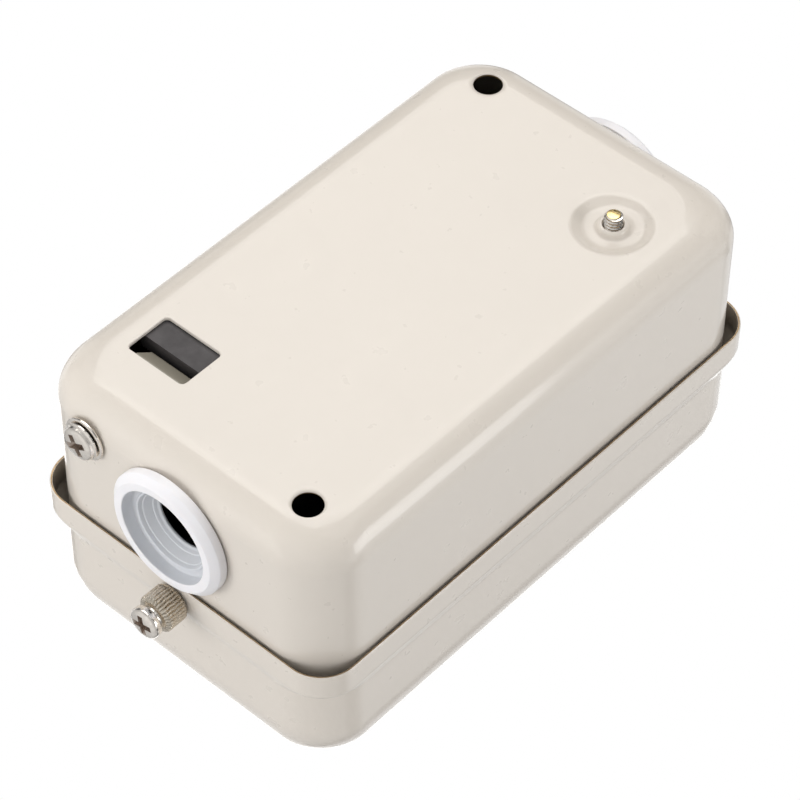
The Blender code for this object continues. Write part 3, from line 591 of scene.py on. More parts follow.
@dataclass
class PressedCase:
    """The two drawn steel shells: the wall tray and the cover whose rim laps over it."""

    shop: Workshop
    half_width: float = 47.5
    half_height: float = 80.0
    depth: float = 90.0
    sheet: float = 0.9
    cover_sheet: float = 0.7
    base_edge: float = 49.5
    base_corner: float = 15.8
    base_fillet: float = 10.0
    back_corner: float = 12.0
    rim_edge: float = 41.7
    rim_offset: float = 1.5
    rim_corner: float = 10.6
    joggle: tuple[float, float] = (48.8, 53.6)
    cover_offset: float = 0.4
    cover_corner: float = 15.6
    cover_fillet: float = 22.0
    front_corner: float = 8.0
    wall_hole: tuple[float, float] = (31.3, 67.0)
    wall_hole_radius: float = 3.8
    window: tuple[float, float, float, float] = (15.6, 34.1, -60.2, -46.7)
    lug_depth: float = 4.4
    lug_reach: float = 5.0
    lug_notch: float = 3.2
    boss: tuple[float, float] = (-24.9, 49.4)
    dish_radius: float = 10.4
    dish_rim: float = 1.2
    lower_entry_y: float = -22.4
    upper_entry_y: float = -23.6
    entry_radius: float = 12.5
    earth: tuple[float, float] = (28.4, -11.6)
    earth_hole_radius: float = 2.9
    cover_screw_y: float = -47.3
    slot_radius: float = 2.4
    cover_hole_radius: float = 2.3
    hook_x: float = 24.0
    hook_half: float = 4.6
    hook_slot: tuple[float, float] = (-48.3, -42.2)
    barrel_hole_radius: float = 13.6

    def entry_height(self, side: int) -> float:
        """The height of the cable entry in the lower (-1) or upper (1) end."""
        return self.upper_entry_y if side > 0 else self.lower_entry_y

    def ring(self, depth: float, offset: float, corner: float) -> list[Station]:
        """A ring of the shells' wall at a depth, offset outwards from the case's outline."""
        shape = outline(self.half_width + offset, self.half_height + offset, corner)
        return [(x, -depth, z) for x, z in shape]

    def skin(self, stations: Sequence[Station], edge: int, sheet: float) -> list[Station]:
        """The stations of the sheet's far side, from the open edge to the flat.

        Args:
            stations: The near side's (depth, offset, corner) stations.
            edge: 1 where the flat lies at a greater depth than the edge, and -1 otherwise.
            sheet: The sheet's thickness.

        Returns:
            The stations, moved inwards by the sheet's thickness.
        """
        inner = []
        for i, (depth, offset, corner) in enumerate(stations):
            run = run_at(stations, i)
            normal = Vector((run.y, -run.x)) * edge
            rounding = max(corner + normal.y * sheet, 0.6)
            inner.append((depth + normal.x * sheet, offset + normal.y * sheet, rounding))
        return inner

    def fillet(self, flat: float, direction: int, offset: float, corner: float, radius: float,
               flat_corner: float, steps: int = 12) -> list[Station]:
        """Stations that round the wall into the flat.

        Args:
            flat: The flat's depth.
            direction: 1 where the flat lies at a greater depth than the wall, and -1 otherwise.
            offset: The wall's offset.
            corner: The wall's corner radius.
            radius: The rounding.
            flat_corner: The flat's corner radius.
            steps: Segments on the round.

        Returns:
            The stations, from the wall to just inside the flat.
        """
        stations = []
        for step in range(steps + 1):
            angle = math.radians(90 * step / steps)
            inset = radius * (1 - math.cos(angle))
            depth = flat - direction * radius * (1 - math.sin(angle))
            stations.append((depth, offset - inset, corner - (corner - flat_corner) * inset / radius))
        last = stations[-1]
        stations.append((last[0], last[1] - 0.6, last[2] - 0.3))
        return stations

    def tray(self, name: str, stations: list[Station], edge: int, sheet: float) -> bpy.types.Object:
        """Skin a tray from its near side's stations, with a painted outer lip, a bare edge and an inside
        in darker enamel as painted shade.
        """
        inner = self.skin(stations, edge, sheet)
        lip, back = stations[0], inner[0]
        rounding, chamfer = 0.3, 0.1
        outer_lip = (lip[0] + edge * rounding, lip[1], lip[2])
        edge_out = (lip[0], lip[1] - rounding, lip[2] - rounding)
        edge_in = (lip[0], back[1] + chamfer, back[2] + chamfer)
        inner_lip = (lip[0] + edge * chamfer, back[1], back[2])
        bands = [*stations[:0:-1], outer_lip, edge_out, edge_in, inner_lip, *inner[1:]]
        first_edge = len(stations) - 1
        bm = bmesh.new()
        loft(bm, [self.ring(*band) for band in bands], edge_rings={first_edge + 1},
             inner_rings=range(first_edge + 3, len(bands)))
        return self.shop.piece(name, bm, (CASE_ENAMEL, BARE_EDGE_AND_ROOT_SHADE, INNER_SHADE_ENAMEL))

    def drill(self, name: str, radius: float, at: Sequence[float], axis: Axis,
              sides: int = 56) -> bpy.types.Object:
        """A cutter for a round hole with a rounded-over outer edge and a bare metal wall."""
        profile = [(0, 4), (radius + 1.6, 4), (radius + 1.6, 0.3), (radius + 1.3, 0.0),
                   (radius + 0.8, -0.06), (radius + 0.4, -0.17), (radius + 0.12, -0.34),
                   (radius, -0.55), (radius, -5), (0, -5)]
        upright = axis.turn().inverted()

        def sort(middle: Vector) -> int:
            """Tell the bare wall from the painted edge."""
            return 1 if (upright @ (middle - Vector(at))).z < -0.5 else 0

        return self.shop.lathe(name, profile, at, axis, (CASE_ENAMEL, BARE_EDGE_AND_ROOT_SHADE), sides, sort=sort)

    def window_cutter(self) -> bpy.types.Object:
        """A cutter for the window, with small corner radii and a slightly rounded outer edge."""
        x0, x1, z0, z1 = self.window
        middle_x, middle_z = (x0 + x1) / 2, (z0 + z1) / 2
        rings = []
        for y, grow in ((3.0, 0.9), (0.3, 0.9), (0.0, 0.3), (-0.12, 0.1), (-0.34, 0.0), (-4.0, 0.0)):
            shape = outline((x1 - x0) / 2 + grow, (z1 - z0) / 2 + grow, 1.3 + grow, 6)
            rings.append([(middle_x + x, y, middle_z + z) for x, z in shape])
        bm = bmesh.new()
        loft(bm, rings)
        return self.shop.piece("window_cutter", bm, (CASE_ENAMEL,))

    def box_cutter(self, name: str, low: Sequence[float], high: Sequence[float]) -> bpy.types.Object:
        """A box to cut with, between two corners, with its edges eased a little."""
        low, high = Vector(low), Vector(high)
        bm = bmesh.new()
        bmesh.ops.create_cube(bm, size=1.0)
        bmesh.ops.scale(bm, vec=high - low, verts=bm.verts)
        bmesh.ops.translate(bm, vec=(low + high) / 2, verts=bm.verts)
        bmesh.ops.bevel(bm, geom=bm.edges[:], offset=0.3, segments=1, profile=0.5, affect="EDGES")
        return self.shop.piece(name, bm, (CASE_ENAMEL,))

    def build_base(self) -> None:
        """The wall tray with its holes, window, lug and dished screw boss."""
        stations = [(self.base_edge, 0.0, self.base_corner),
                    (self.base_edge - 1, 0.0, self.base_corner)]
        stations += self.fillet(0, -1, 0, self.base_corner, self.base_fillet, self.back_corner)
        base = self.tray("base_tray", stations, -1, self.sheet)
        reach = self.dish_radius + self.dish_rim
        disc = [(0, 3), (reach, 3), (reach, -3), (0, -3)]
        at = (self.boss[0], 0, self.boss[1])
        boss_hole = self.shop.lathe("boss_cutter", disc, at, Axis.BACK, (CASE_ENAMEL,))
        cutters = [self.window_cutter(), boss_hole]
        for side in (-1, 1):
            at = (side * self.wall_hole[0], 0, side * self.wall_hole[1])
            cutters.append(self.drill(f"wall_hole_{side}", self.wall_hole_radius, at, Axis.BACK))
            axis = Axis.UP if side > 0 else Axis.DOWN
            end = (0, self.entry_height(side), side * self.half_height)
            cutters.append(self.drill(f"entry_{side}", self.entry_radius, end, axis))
            left, right = side * self.hook_x - self.hook_half, side * self.hook_x + self.hook_half
            front, back = self.hook_slot
            low, high = (left, front, self.half_height - 10), (right, back, self.half_height + 10)
            cutters.append(self.box_cutter(f"hook_slot_{side}", low, high))
        slot, end = self.slot_radius, -self.half_height
        earth = (*self.earth, end)
        cutters.append(self.drill("earth_hole", self.earth_hole_radius, earth, Axis.DOWN, 32))
        cutters.append(self.drill("screw_slot", slot, (0, self.cover_screw_y, end), Axis.DOWN, 32))
        low, high = (-slot, -self.base_edge - 2, end - 4), (slot, self.cover_screw_y, end + 4)
        cutters.append(self.box_cutter("screw_mouth", low, high))
        self.shop.cut(base, *cutters)
        self.shop.flatten_shading(base)
        self.shop.hand_over(base, Body.BASE, CASE_ENAMEL, "base_shell")
        self.build_boss()
        self.build_lug()

    def build_boss(self) -> None:
        """The dish pressed round the starter's screw, with its drawn collar."""
        r = self.dish_radius
        top = [(r + self.dish_rim, 0.0), (r + 0.35, 0.0), (r - 0.15, -0.1), (r - 0.7, -0.44),
               (r - 2.1, -1.3), (r - 2.8, -1.54), (r - 3.6, -1.6), (5.2, -1.6), (4.6, -1.5),
               (4.2, -1.2), (4.0, -0.75), (3.85, -0.3), (3.55, 0.05), (3.2, 0.2), (2.9, 0.18),
               (2.7, 0.0), (2.6, -0.3)]
        under = [(2.6, -2.4), (4.4, -2.45), (5.2, -2.5), (r - 4.0, -2.5), (r - 2.6, -2.25),
                 (r - 0.4, -1.0), (r + 0.4, -0.9), (r + self.dish_rim, -0.9)]
        at = (self.boss[0], 0, self.boss[1])
        dish = self.shop.lathe("boss_dish", top + under, at, Axis.BACK, (CASE_ENAMEL,))
        self.shop.hand_over(dish, Body.BASE, CASE_ENAMEL)

    def build_lug(self) -> None:
        """The tab lanced from the window's lower edge and bent in behind it."""
        x0, x1, z0, _ = self.window
        spine = [(-0.45, z0 - 0.7), (-0.5, z0 + 0.05),
                 (-self.lug_depth + 0.6, z0 + self.lug_reach - 0.6),
                 (-self.lug_depth + 0.4, z0 + self.lug_reach - 0.15)]
        centre = soften(spine, 0.7, 4)
        near, far = [], []
        for i, (y, z) in enumerate(centre):
            run = run_at(centre, i) * (self.sheet / 2 - 0.02)
            near.append((y - run.y, z + run.x))
            far.append((y + run.y, z - run.x))
        section = soften(near + far[::-1], 0.16, 2, closed=True)
        bm = bmesh.new()
        loft(bm, [[(x, y, z) for y, z in section] for x in (x0 + 0.35, x1 - self.lug_notch)])
        # The lug takes the darker enamel as painted shade.
        lug = self.shop.piece("window_lug", bm, (LUG_SHADE_ENAMEL,))
        self.shop.hand_over(lug, Body.BASE, CASE_ENAMEL)

    def build_cover(self) -> None:
        """The cover, whose rim is stepped out to lap over the base."""
        top, bottom = self.joggle
        rim, wall = (self.rim_offset, self.rim_corner), (self.cover_offset, self.cover_corner)
        stations = [(self.rim_edge, *rim), (self.rim_edge + 1, *rim)]
        for step in range(9):
            t = step / 8
            ease = t * t * (3 - 2 * t)
            offset = rim[0] + (wall[0] - rim[0]) * ease
            corner = rim[1] + (wall[1] - rim[1]) * ease
            stations.append((top + (bottom - top) * t, offset, corner))
        stations += self.fillet(self.depth, 1, wall[0], wall[1], self.cover_fillet, self.front_corner)
        cover = self.tray("cover_tray", stations, 1, self.cover_sheet)
        cutters = []
        for z in (START_Z, STOP_Z):
            at = (0, -self.depth, z)
            cutters.append(self.drill(f"barrel_hole_{z:.0f}", self.barrel_hole_radius, at, Axis.FRONT))
        at = (0, self.cover_screw_y, -self.half_height - self.rim_offset)
        cutters.append(self.drill("cover_screw_hole", self.cover_hole_radius, at, Axis.DOWN, 32))
        self.shop.cut(cover, *cutters)
        self.shop.flatten_shading(cover)
        self.shop.hand_over(cover, Body.COVER, CASE_ENAMEL, "cover_shell")


@dataclass
class CableGrommets:
    """The two snap-in grommets, with a deep funnel and a round eye."""

    shop: Workshop
    case: PressedCase
    radius: float = 17.6
    stand: float = 4.4
    cable_radius: float = 7.8

    def build_one(self, word: str, side: int, profile: Profile) -> None:
        """Make one grommet.

        Args:
            word: Which end it stands in.
            side: -1 for the lower end and 1 for the upper.
            profile: Its section.
        """
        at = (0, self.case.entry_height(side), side * self.case.half_height)

        def sort(middle: Vector) -> int:
            """Tell the throat, darkened as painted shade, from the lip."""
            reach = math.hypot(middle.x - at[0], middle.y - at[1])
            height = side * middle.z - self.case.half_height
            return 1 if reach < self.radius - 4.1 and height < self.stand - 0.4 else 0

        axis, finishes = (Axis.UP if side > 0 else Axis.DOWN), (GROMMET, GROMMET_THROAT_SHADE)
        grommet = self.shop.lathe(f"grommet_{word}", profile, at, axis, finishes, 96, 60, sort=sort)
        self.shop.hand_over(grommet, Body.BASE, GROMMET, f"cable_grommet_{word}")

    def build(self) -> None:
        """Make both grommets."""
        r, s, c = self.radius, self.stand, self.cable_radius
        profile = [(c + 0.55, -2.5), (c + 0.95, -1.75), (c + 1.2, -1.7), (c + 2.3, 0.35),
                   (c + 2.55, 0.4), (c + 2.95, s - 3.0), (c + 3.35, s - 2.8), (c + 3.7, s - 3.2),
                   (r - 4.6, s - 3.25), (r - 4.2, s - 0.1), (r - 3.9, s), (r - 1.9, s),
                   (r - 0.1, s - 1.7), (r, s - 1.95), (r, 0.35), (12.2, 0.35), (12.2, -1.2),
                   (13.6, -1.25), (12.5, -3.75), (c + 0.4, -3.75), (c, -3.4), (c, -2.95)]
        profile = soften(profile, 0.28, 3, closed=True)
        self.build_one("lower", -1, profile)
        self.build_one("upper", 1, profile)


@dataclass
class CaseScrews:
    """The knurled cover screw, the earth screw and washer, and the starter's own fixing screw."""

    shop: Workshop
    case: PressedCase
    knurls: int = 32
    seat: float = 1.8
    collar: float = 7.0
    collar_radius: float = 5.25
    shoulder: float = 4.3
    knurl_depth: float = 0.75
    pitch: float = 1.0
    thread_core: float = 2.3
    thread_end: float = 5.0
    thread_depth: float = 0.62
    recess_depth: float = 1.5
    recess_taper: float = 0.55

    def knurl(self, angle: float, radius: float, height: float) -> float:
        """The straight knurl's ridges, which fade at the collar's chamfers."""
        if radius < self.shoulder or not self.seat - 0.3 < height < self.seat + self.collar + 0.3:
            return 0.0
        wave = abs(math.sin(angle * self.knurls / 2 + 0.22 * math.sin(2.1 * height + 3 * angle)))
        fade = min(max((radius - self.shoulder) / 0.7, 0.0), 1.0)
        return -self.knurl_depth * (1.0 - wave ** 0.8) * fade

    def thread(self, angle: float, radius: float, height: float) -> float:
        """A coarse machine thread on the starter screw's end."""
        if radius < self.thread_core or height > self.thread_end:
            return 0.0
        phase = (height / self.pitch + angle / math.tau) % 1.0
        return -self.thread_depth * abs(2 * phase - 1)

    def cut_cross(self, screw: bpy.types.Object, top: Sequence[float], width: float, reach: float,
                  angle: float, finishes: Sequence[Finish]) -> None:
        """Sink a tapering cross recess into a head that faces down.

        Args:
            screw: The screw.
            top: The middle of its head's top.
            width: Across an arm.
            reach: From the middle to an arm's end.
            angle: The turn of the cross, in degrees.
            finishes: The screw's finishes, with the recess's painted shade last.
        """
        place = Matrix.Translation(top) @ Axis.DOWN.turn() @ Matrix.Rotation(math.radians(angle), 4, "Z")
        depth, taper = self.recess_depth, self.recess_taper
        cutters = []
        for number, (half_x, half_y) in enumerate(((reach, width / 2), (width / 2, reach))):
            rings = []
            for share, height in ((1.0, depth), (1.0, 0.0), (taper, -depth)):
                x, y = half_x * share, half_y * share
                corners = ((x, y), (-x, y), (-x, -y), (x, -y))
                rings.append([place @ Vector((*corner, height)) for corner in corners])
            bm = bmesh.new()
            loft(bm, rings)
            for face in bm.faces:
                face.material_index = len(finishes) - 1
            cutters.append(self.shop.piece(f"recess_{number}", bm, finishes))
        self.shop.cut(screw, *cutters)

    def build_cover_screw(self) -> None:
        """The captive screw: shank, knurled collar, neck and pan head with a cross."""
        seat, wide, rise = self.seat, self.collar_radius, 0.85
        neck = seat + self.collar
        head = neck + 1.2
        lower = [(0, -9.0), (1.5, -9.0), (1.9, -8.6), (1.9, seat), (4.4, seat), (wide, seat + rise)]
        collar = [(wide, seat + rise + step * 0.53) for step in range(1, 11)]
        upper = [(4.4, neck), (3.1, neck), (3.0, neck + 0.2), (3.0, head), (4.0, head),
                 (4.35, head + 0.3), (4.4, head + 0.7), (4.4, head + 1.5), (4.3, head + 2.0),
                 (4.0, head + 2.4), (3.5, head + 2.62), (2.6, head + 2.72), (1.4, head + 2.78),
                 (0, head + 2.8)]
        end = -self.case.half_height
        at = (0, self.case.cover_screw_y, end)
        finishes = (NICKEL, KNURL_SHADE_NICKEL, RECESS_SHADE)

        def sort(middle: Vector) -> int:
            """Tell the knurled collar, which takes the nickel darkened as painted shade, from the rest.
            """
            return 1 if seat - 0.1 < end - middle.z < neck + 0.1 else 0

        screw = self.shop.lathe("cover_screw_turned", lower + collar + upper, at, Axis.DOWN, finishes,
                                self.knurls * 8, 30, self.knurl, sort)
        top = (0, self.case.cover_screw_y, end - upper[-1][1])
        self.cut_cross(screw, top, width=1.7, reach=3.1, angle=12, finishes=finishes)
        self.shop.hand_over(screw, Body.COVER_SCREW, NICKEL, "cover_screw")

    def build_earth_screw(self) -> None:
        """The earth screw with its flanged pan head, over a plain washer."""
        at = (*self.case.earth, -self.case.half_height)
        washer = soften([(6.0, 0.3), (6.0, 1.25), (2.8, 1.28), (2.8, 0.3)], 0.36, 3, closed=True)
        washer_piece = self.shop.lathe("earth_washer_turned", washer, at, Axis.DOWN, (NICKEL,))
        self.shop.hand_over(washer_piece, Body.BASE, ZINC, "earth_washer")
        seat = 1.6
        shank = [(0, -11), (2.0, -11), (2.4, -10.6), (2.4, seat)]
        head = [(5.0, seat), (5.2, seat + 0.14), (5.15, seat + 0.42), (4.85, seat + 0.6),
                (4.7, seat + 0.85), (4.65, seat + 1.4), (4.4, seat + 1.85), (3.9, seat + 2.15),
                (3.0, seat + 2.3), (1.6, seat + 2.38), (0, seat + 2.4)]
        finishes = (NICKEL, RECESS_SHADE)
        screw = self.shop.lathe("earth_screw_turned", shank + head, at, Axis.DOWN, finishes, crease=50)
        top = (at[0], at[1], at[2] - head[-1][1])
        self.cut_cross(screw, top, width=1.8, reach=3.3, angle=28, finishes=finishes)
        self.shop.hand_over(screw, Body.BASE, NICKEL, "earth_screw")

    def build_starter_screw(self) -> None:
        """The screw that holds the starter; its threaded end stands out of the boss."""
        tip = [(0, -3.4), (1.6, -3.4), (1.8, -3.3), (2.0, -3.0)]
        shank = [(2.4, -2.95 + step * 0.08) for step in range(75)]
        head = [(2.4, 6.1), (4.3, 6.1), (4.3, 7.3), (3.2, 8.5), (0, 8.9)]
        at = (self.case.boss[0], 0, self.case.boss[1])
        face_y, face_radius = 3.25, 1.7
        # The thread roots take the dark bare-edge metal as painted shade.
        shade_root_y, shade_root_radius = 2.9, 2.02

        def sort(middle: Vector) -> int:
            """Tell the yellow end face, and the thread roots darkened as painted shade, from the rest."""
            reach = math.hypot(middle.x - at[0], middle.z - at[2])
            if middle.y > face_y and reach < face_radius:
                return 1
            return 2 if reach < shade_root_radius and middle.y < shade_root_y else 0

        profile, finishes = tip + shank + head, (NICKEL, GOLD_ZINC, BARE_EDGE_AND_ROOT_SHADE)
        screw = self.shop.lathe("starter_screw_turned", profile, at, Axis.FRONT, finishes, 40, 30,
                                self.thread, sort)
        self.shop.hand_over(screw, Body.BASE, GOLD_ZINC, "starter_screw")

    def build(self) -> None:
        """Make every screw on the case."""
        self.build_cover_screw()
        self.build_earth_screw()
        self.build_starter_screw()


# ---- Controls on the cover ----


@dataclass
class FrontControls:
    """The button plate, the two buttons and their return springs."""

    shop: Workshop
    face: float = -90.3
    plate_half: float = 20.0
    plate_low: float = -49.0
    plate_high: float = 39.0
    plate_thick: float = 2.2
    plate_corner: float = 3.2
    bezel_bore: float = 13.0
    rivet_x: float = 15.5
    rivet_inset: float = 4.5
    button_radius: float = 10.8
    floor: float = 80.0
    button_back: float = 86.0

    def build_plate(self) -> None:
        """The plate, with a barrel and a raised bezel for each button and a rivet in each corner."""
        middle = (self.plate_low + self.plate_high) / 2
        half = (self.plate_high - self.plate_low) / 2
        bm = bmesh.new()
        rings = []
        for y, inset in ((0.0, 0.0), (-1.5, 0.0), (-1.9, 0.12), (-2.1, 0.4), (-2.2, 0.9)):
            shape = outline(self.plate_half - inset, half - inset, self.plate_corner - inset, 8)
            rings.append([(x, self.face + y, middle + z) for x, z in shape])
        loft(bm, rings)
        plate = self.shop.piece("button_plate_body", bm, (GREY,))
        reach = self.bezel_bore
        bore = [(0, 5), (reach, 5), (reach, -5), (0, -5)]
        bores = [self.shop.lathe(f"bezel_cutter_{z:.0f}", bore, (0, self.face, z), Axis.FRONT, (GREY,))
                 for z in (START_Z, STOP_Z)]
        self.shop.cut(plate, *bores)
        self.shop.hand_over(plate, Body.COVER, GREY, "button_plate")
        inner = self.button_radius + 0.3
        barrel = [(inner, 81.5), (inner, 93.0), (inner + 0.25, 93.3), (12.6, 93.3), (13.0, 92.9),
                  (13.2, 92.3), (13.3, 90.3), (13.3, 78.5), (4.5, 78.5), (4.5, 80.0),
                  (inner - 0.6, 80.0)]
        barrel = soften(barrel, 0.3, 2, closed=True)
        for z, word in ((START_Z, "start"), (STOP_Z, "stop")):
            piece = self.shop.lathe(f"{word}_barrel", barrel, (0, 0, z), Axis.FRONT, (GREY,))
            self.shop.hand_over(piece, Body.COVER, GREY)
        dome = [(0, 0.9), (0.8, 0.85), (1.5, 0.6), (1.9, 0.1), (1.95, -0.5), (0, -0.5)]
        for x in (-1, 1):
            for z in (self.plate_low + self.rivet_inset, self.plate_high - self.rivet_inset):
                name = f"plate_rivet_{x}_{z:.0f}".replace("-", "n")
                at = (x * self.rivet_x, self.face - self.plate_thick, z)
                rivet = self.shop.lathe(name, dome, at, Axis.FRONT, (ZINC,), 32)
                self.shop.hand_over(rivet, Body.COVER, ZINC)

    def build_button(self, word: str, body: Body, finish: Finish, z: float, stand: float,
                     reach: float) -> None:
        """A push button.

        Args:
            word: The button's name.
            body: The body it rides on.
            finish: Its plastic.
            z: Its height on the cover.
            stand: How far it stands out of the plate.
            reach: The depth of its stem's end.
        """
        front = -self.face + self.plate_thick + stand
        r, back = self.button_radius, self.button_back
        crown = [(0, front - 0.7), (4.0, front - 0.66), (7.2, front - 0.42), (8.6, front - 0.12),
                 (9.3, front), (10.1, front - 0.12), (10.6, front - 0.55), (r, front - 1.3)]
        stem = [(r, back + 0.5), (r - 0.4, back), (4.3, back), (4.0, back - 0.3),
                (4.0, reach + 0.4), (3.6, reach), (0, reach)]
        button = self.shop.lathe(f"{word}_button_cap", crown + stem, (0, 0, z), Axis.FRONT, (finish,),
                                 crease=45)
        self.shop.hand_over(button, body, finish, f"{word}_button")

    def build_spring(self, word: str, z: float) -> None:
        """A button's return spring."""
        low, high = self.floor + 0.3, self.button_back - 0.3
        bm = bmesh.new()
        coil(bm, (0, 0, z), Axis.FRONT, high - low, radius=5.8, wire=0.42, turns=4.2, start=low)
        spring = self.shop.piece(f"{word}_button_coil", bm, (SPRING,))
        self.shop.hand_over(spring, Body.COVER, SPRING, f"{word}_button_spring")
        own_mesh(spring)

    def build(self) -> None:
        """Make the plate, buttons and springs."""
        self.build_plate()
        self.build_button("start", Body.START_BUTTON, GREEN, START_Z, stand=2.0, reach=83.4)
        self.build_button("stop", Body.STOP_BUTTON, RED, STOP_Z, stand=4.6, reach=71.3)
        self.build_spring("start", START_Z)
        self.build_spring("stop", STOP_Z)


# ---- The starter inside ----


@dataclass
class StarterUnit:
    """The contactor and the relay: the CAD's own shapes with their edges eased and dressed."""

    shop: Workshop
    stroke: float = 4.2
    corner_angle: float = 40.0
    parts: dict[str, tuple[Body, Finish, float]] = field(default_factory=dict)

    def __post_init__(self) -> None:
        """List every inner node with its body, finish and edge rounding."""
        base, armature = Body.BASE, Body.ARMATURE
        self.parts = {
            "starter_chassis": (base, FOOT_BLACK, 0.5),
            "contactor_base": (base, BLACK, 0.5),
            "contactor_head": (base, BLACK, 0.4),
            "relay_housing": (base, BLACK, 0.4),
            "relay_lid": (base, GREY, 0.5),
            "start_contact_block": (base, GREY, 0.5),
            "coil_bobbin": (base, IVORY, 0.25),
            "coil_winding": (base, WINDING, 1.2),
            "fixed_core": (base, CORE, 0.15),
            "moving_core": (armature, CORE, 0.15),
            "contact_carrier": (armature, BLACK, 0.3),
            "current_dial": (Body.CURRENT_DIAL, IVORY, 0.3),
            "reset_plunger": (Body.RESET_PLUNGER, RED, 0.4),
            "start_plunger": (Body.START_PLUNGER, IVORY, 0.3),
            "trip_slider": (Body.TRIP_SLIDER, IVORY, 0.2),
            "cover_hook_left": (Body.COVER, ZINC, 0.2),
            "cover_hook_right": (Body.COVER, ZINC, 0.2),
            "cover_screw_nut": (Body.COVER_SCREW_NUT, ZINC, 0.25),
            "earth_nut": (base, ZINC, 0.3),
        }
        for pole in (1, 2, 3):
            self.parts[f"contact_bridge_{pole}"] = (armature, COPPER, 0.2)
            self.parts[f"bimetal_strip_{pole}"] = (base, BIMETAL, 0.1)
            for word in ("line", "load", "motor"):
                self.parts[f"{word}_terminal_{pole}"] = (base, BRASS, 0.2)
                self.parts[f"{word}_terminal_{pole}_screw"] = (base, SCREW_STEEL, 0.25)

    def ease(self, node: str, body: Body, finish: Finish, rounding: float) -> None:
        """Copy a node's shape, round its edges and dress it.

        Args:
            node: The CAD node.
            body: The body it rides on.
            finish: Its finish.
            rounding: The width of the rounding on its edges.
        """
        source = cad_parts[node]
        bm = bmesh.new()
        bm.from_mesh(source.data)
        bm.transform(source.matrix_world)
        bmesh.ops.scale(bm, vec=(1 / MM, 1 / MM, 1 / MM), verts=bm.verts)
        bmesh.ops.remove_doubles(bm, verts=bm.verts, dist=1e-3)
        bmesh.ops.dissolve_limit(bm, angle_limit=math.radians(1), verts=bm.verts, edges=bm.edges)
        least = math.radians(self.corner_angle)
        sharp = [edge for edge in bm.edges if edge.is_manifold and edge.calc_face_angle() > least]
        bmesh.ops.bevel(bm, geom=sharp, offset=rounding, segments=2, profile=0.5, affect="EDGES",
                        clamp_overlap=True)
        piece = self.shop.piece(f"{node}_eased", bm, (finish,), self.corner_angle)
        self.shop.flatten_shading(piece)
        self.shop.hand_over(piece, body, finish, node)

    def build_armature_springs(self) -> None:
        """The two springs behind the carrier."""
        for word in ("upper", "lower"):
            low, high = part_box(f"armature_spring_{word}")
            x, z = (low[0] + high[0]) / 2 / MM, (low[2] + high[2]) / 2 / MM
            front, back = -low[1] / MM, -high[1] / MM
            bm = bmesh.new()
            coil(bm, (x, 0, z), Axis.FRONT, front - back, radius=2.85, wire=0.42, turns=12, start=back)
            spring = self.shop.piece(f"armature_coil_{word}", bm, (SPRING,))
            self.shop.hand_over(spring, Body.BASE, SPRING, f"armature_spring_{word}")
            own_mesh(spring)

    def build(self) -> None:
        """Make every inner piece."""
        for node, (body, finish, rounding) in self.parts.items():
            self.ease(node, body, finish, rounding)
        self.build_armature_springs()


# ---- The room ----


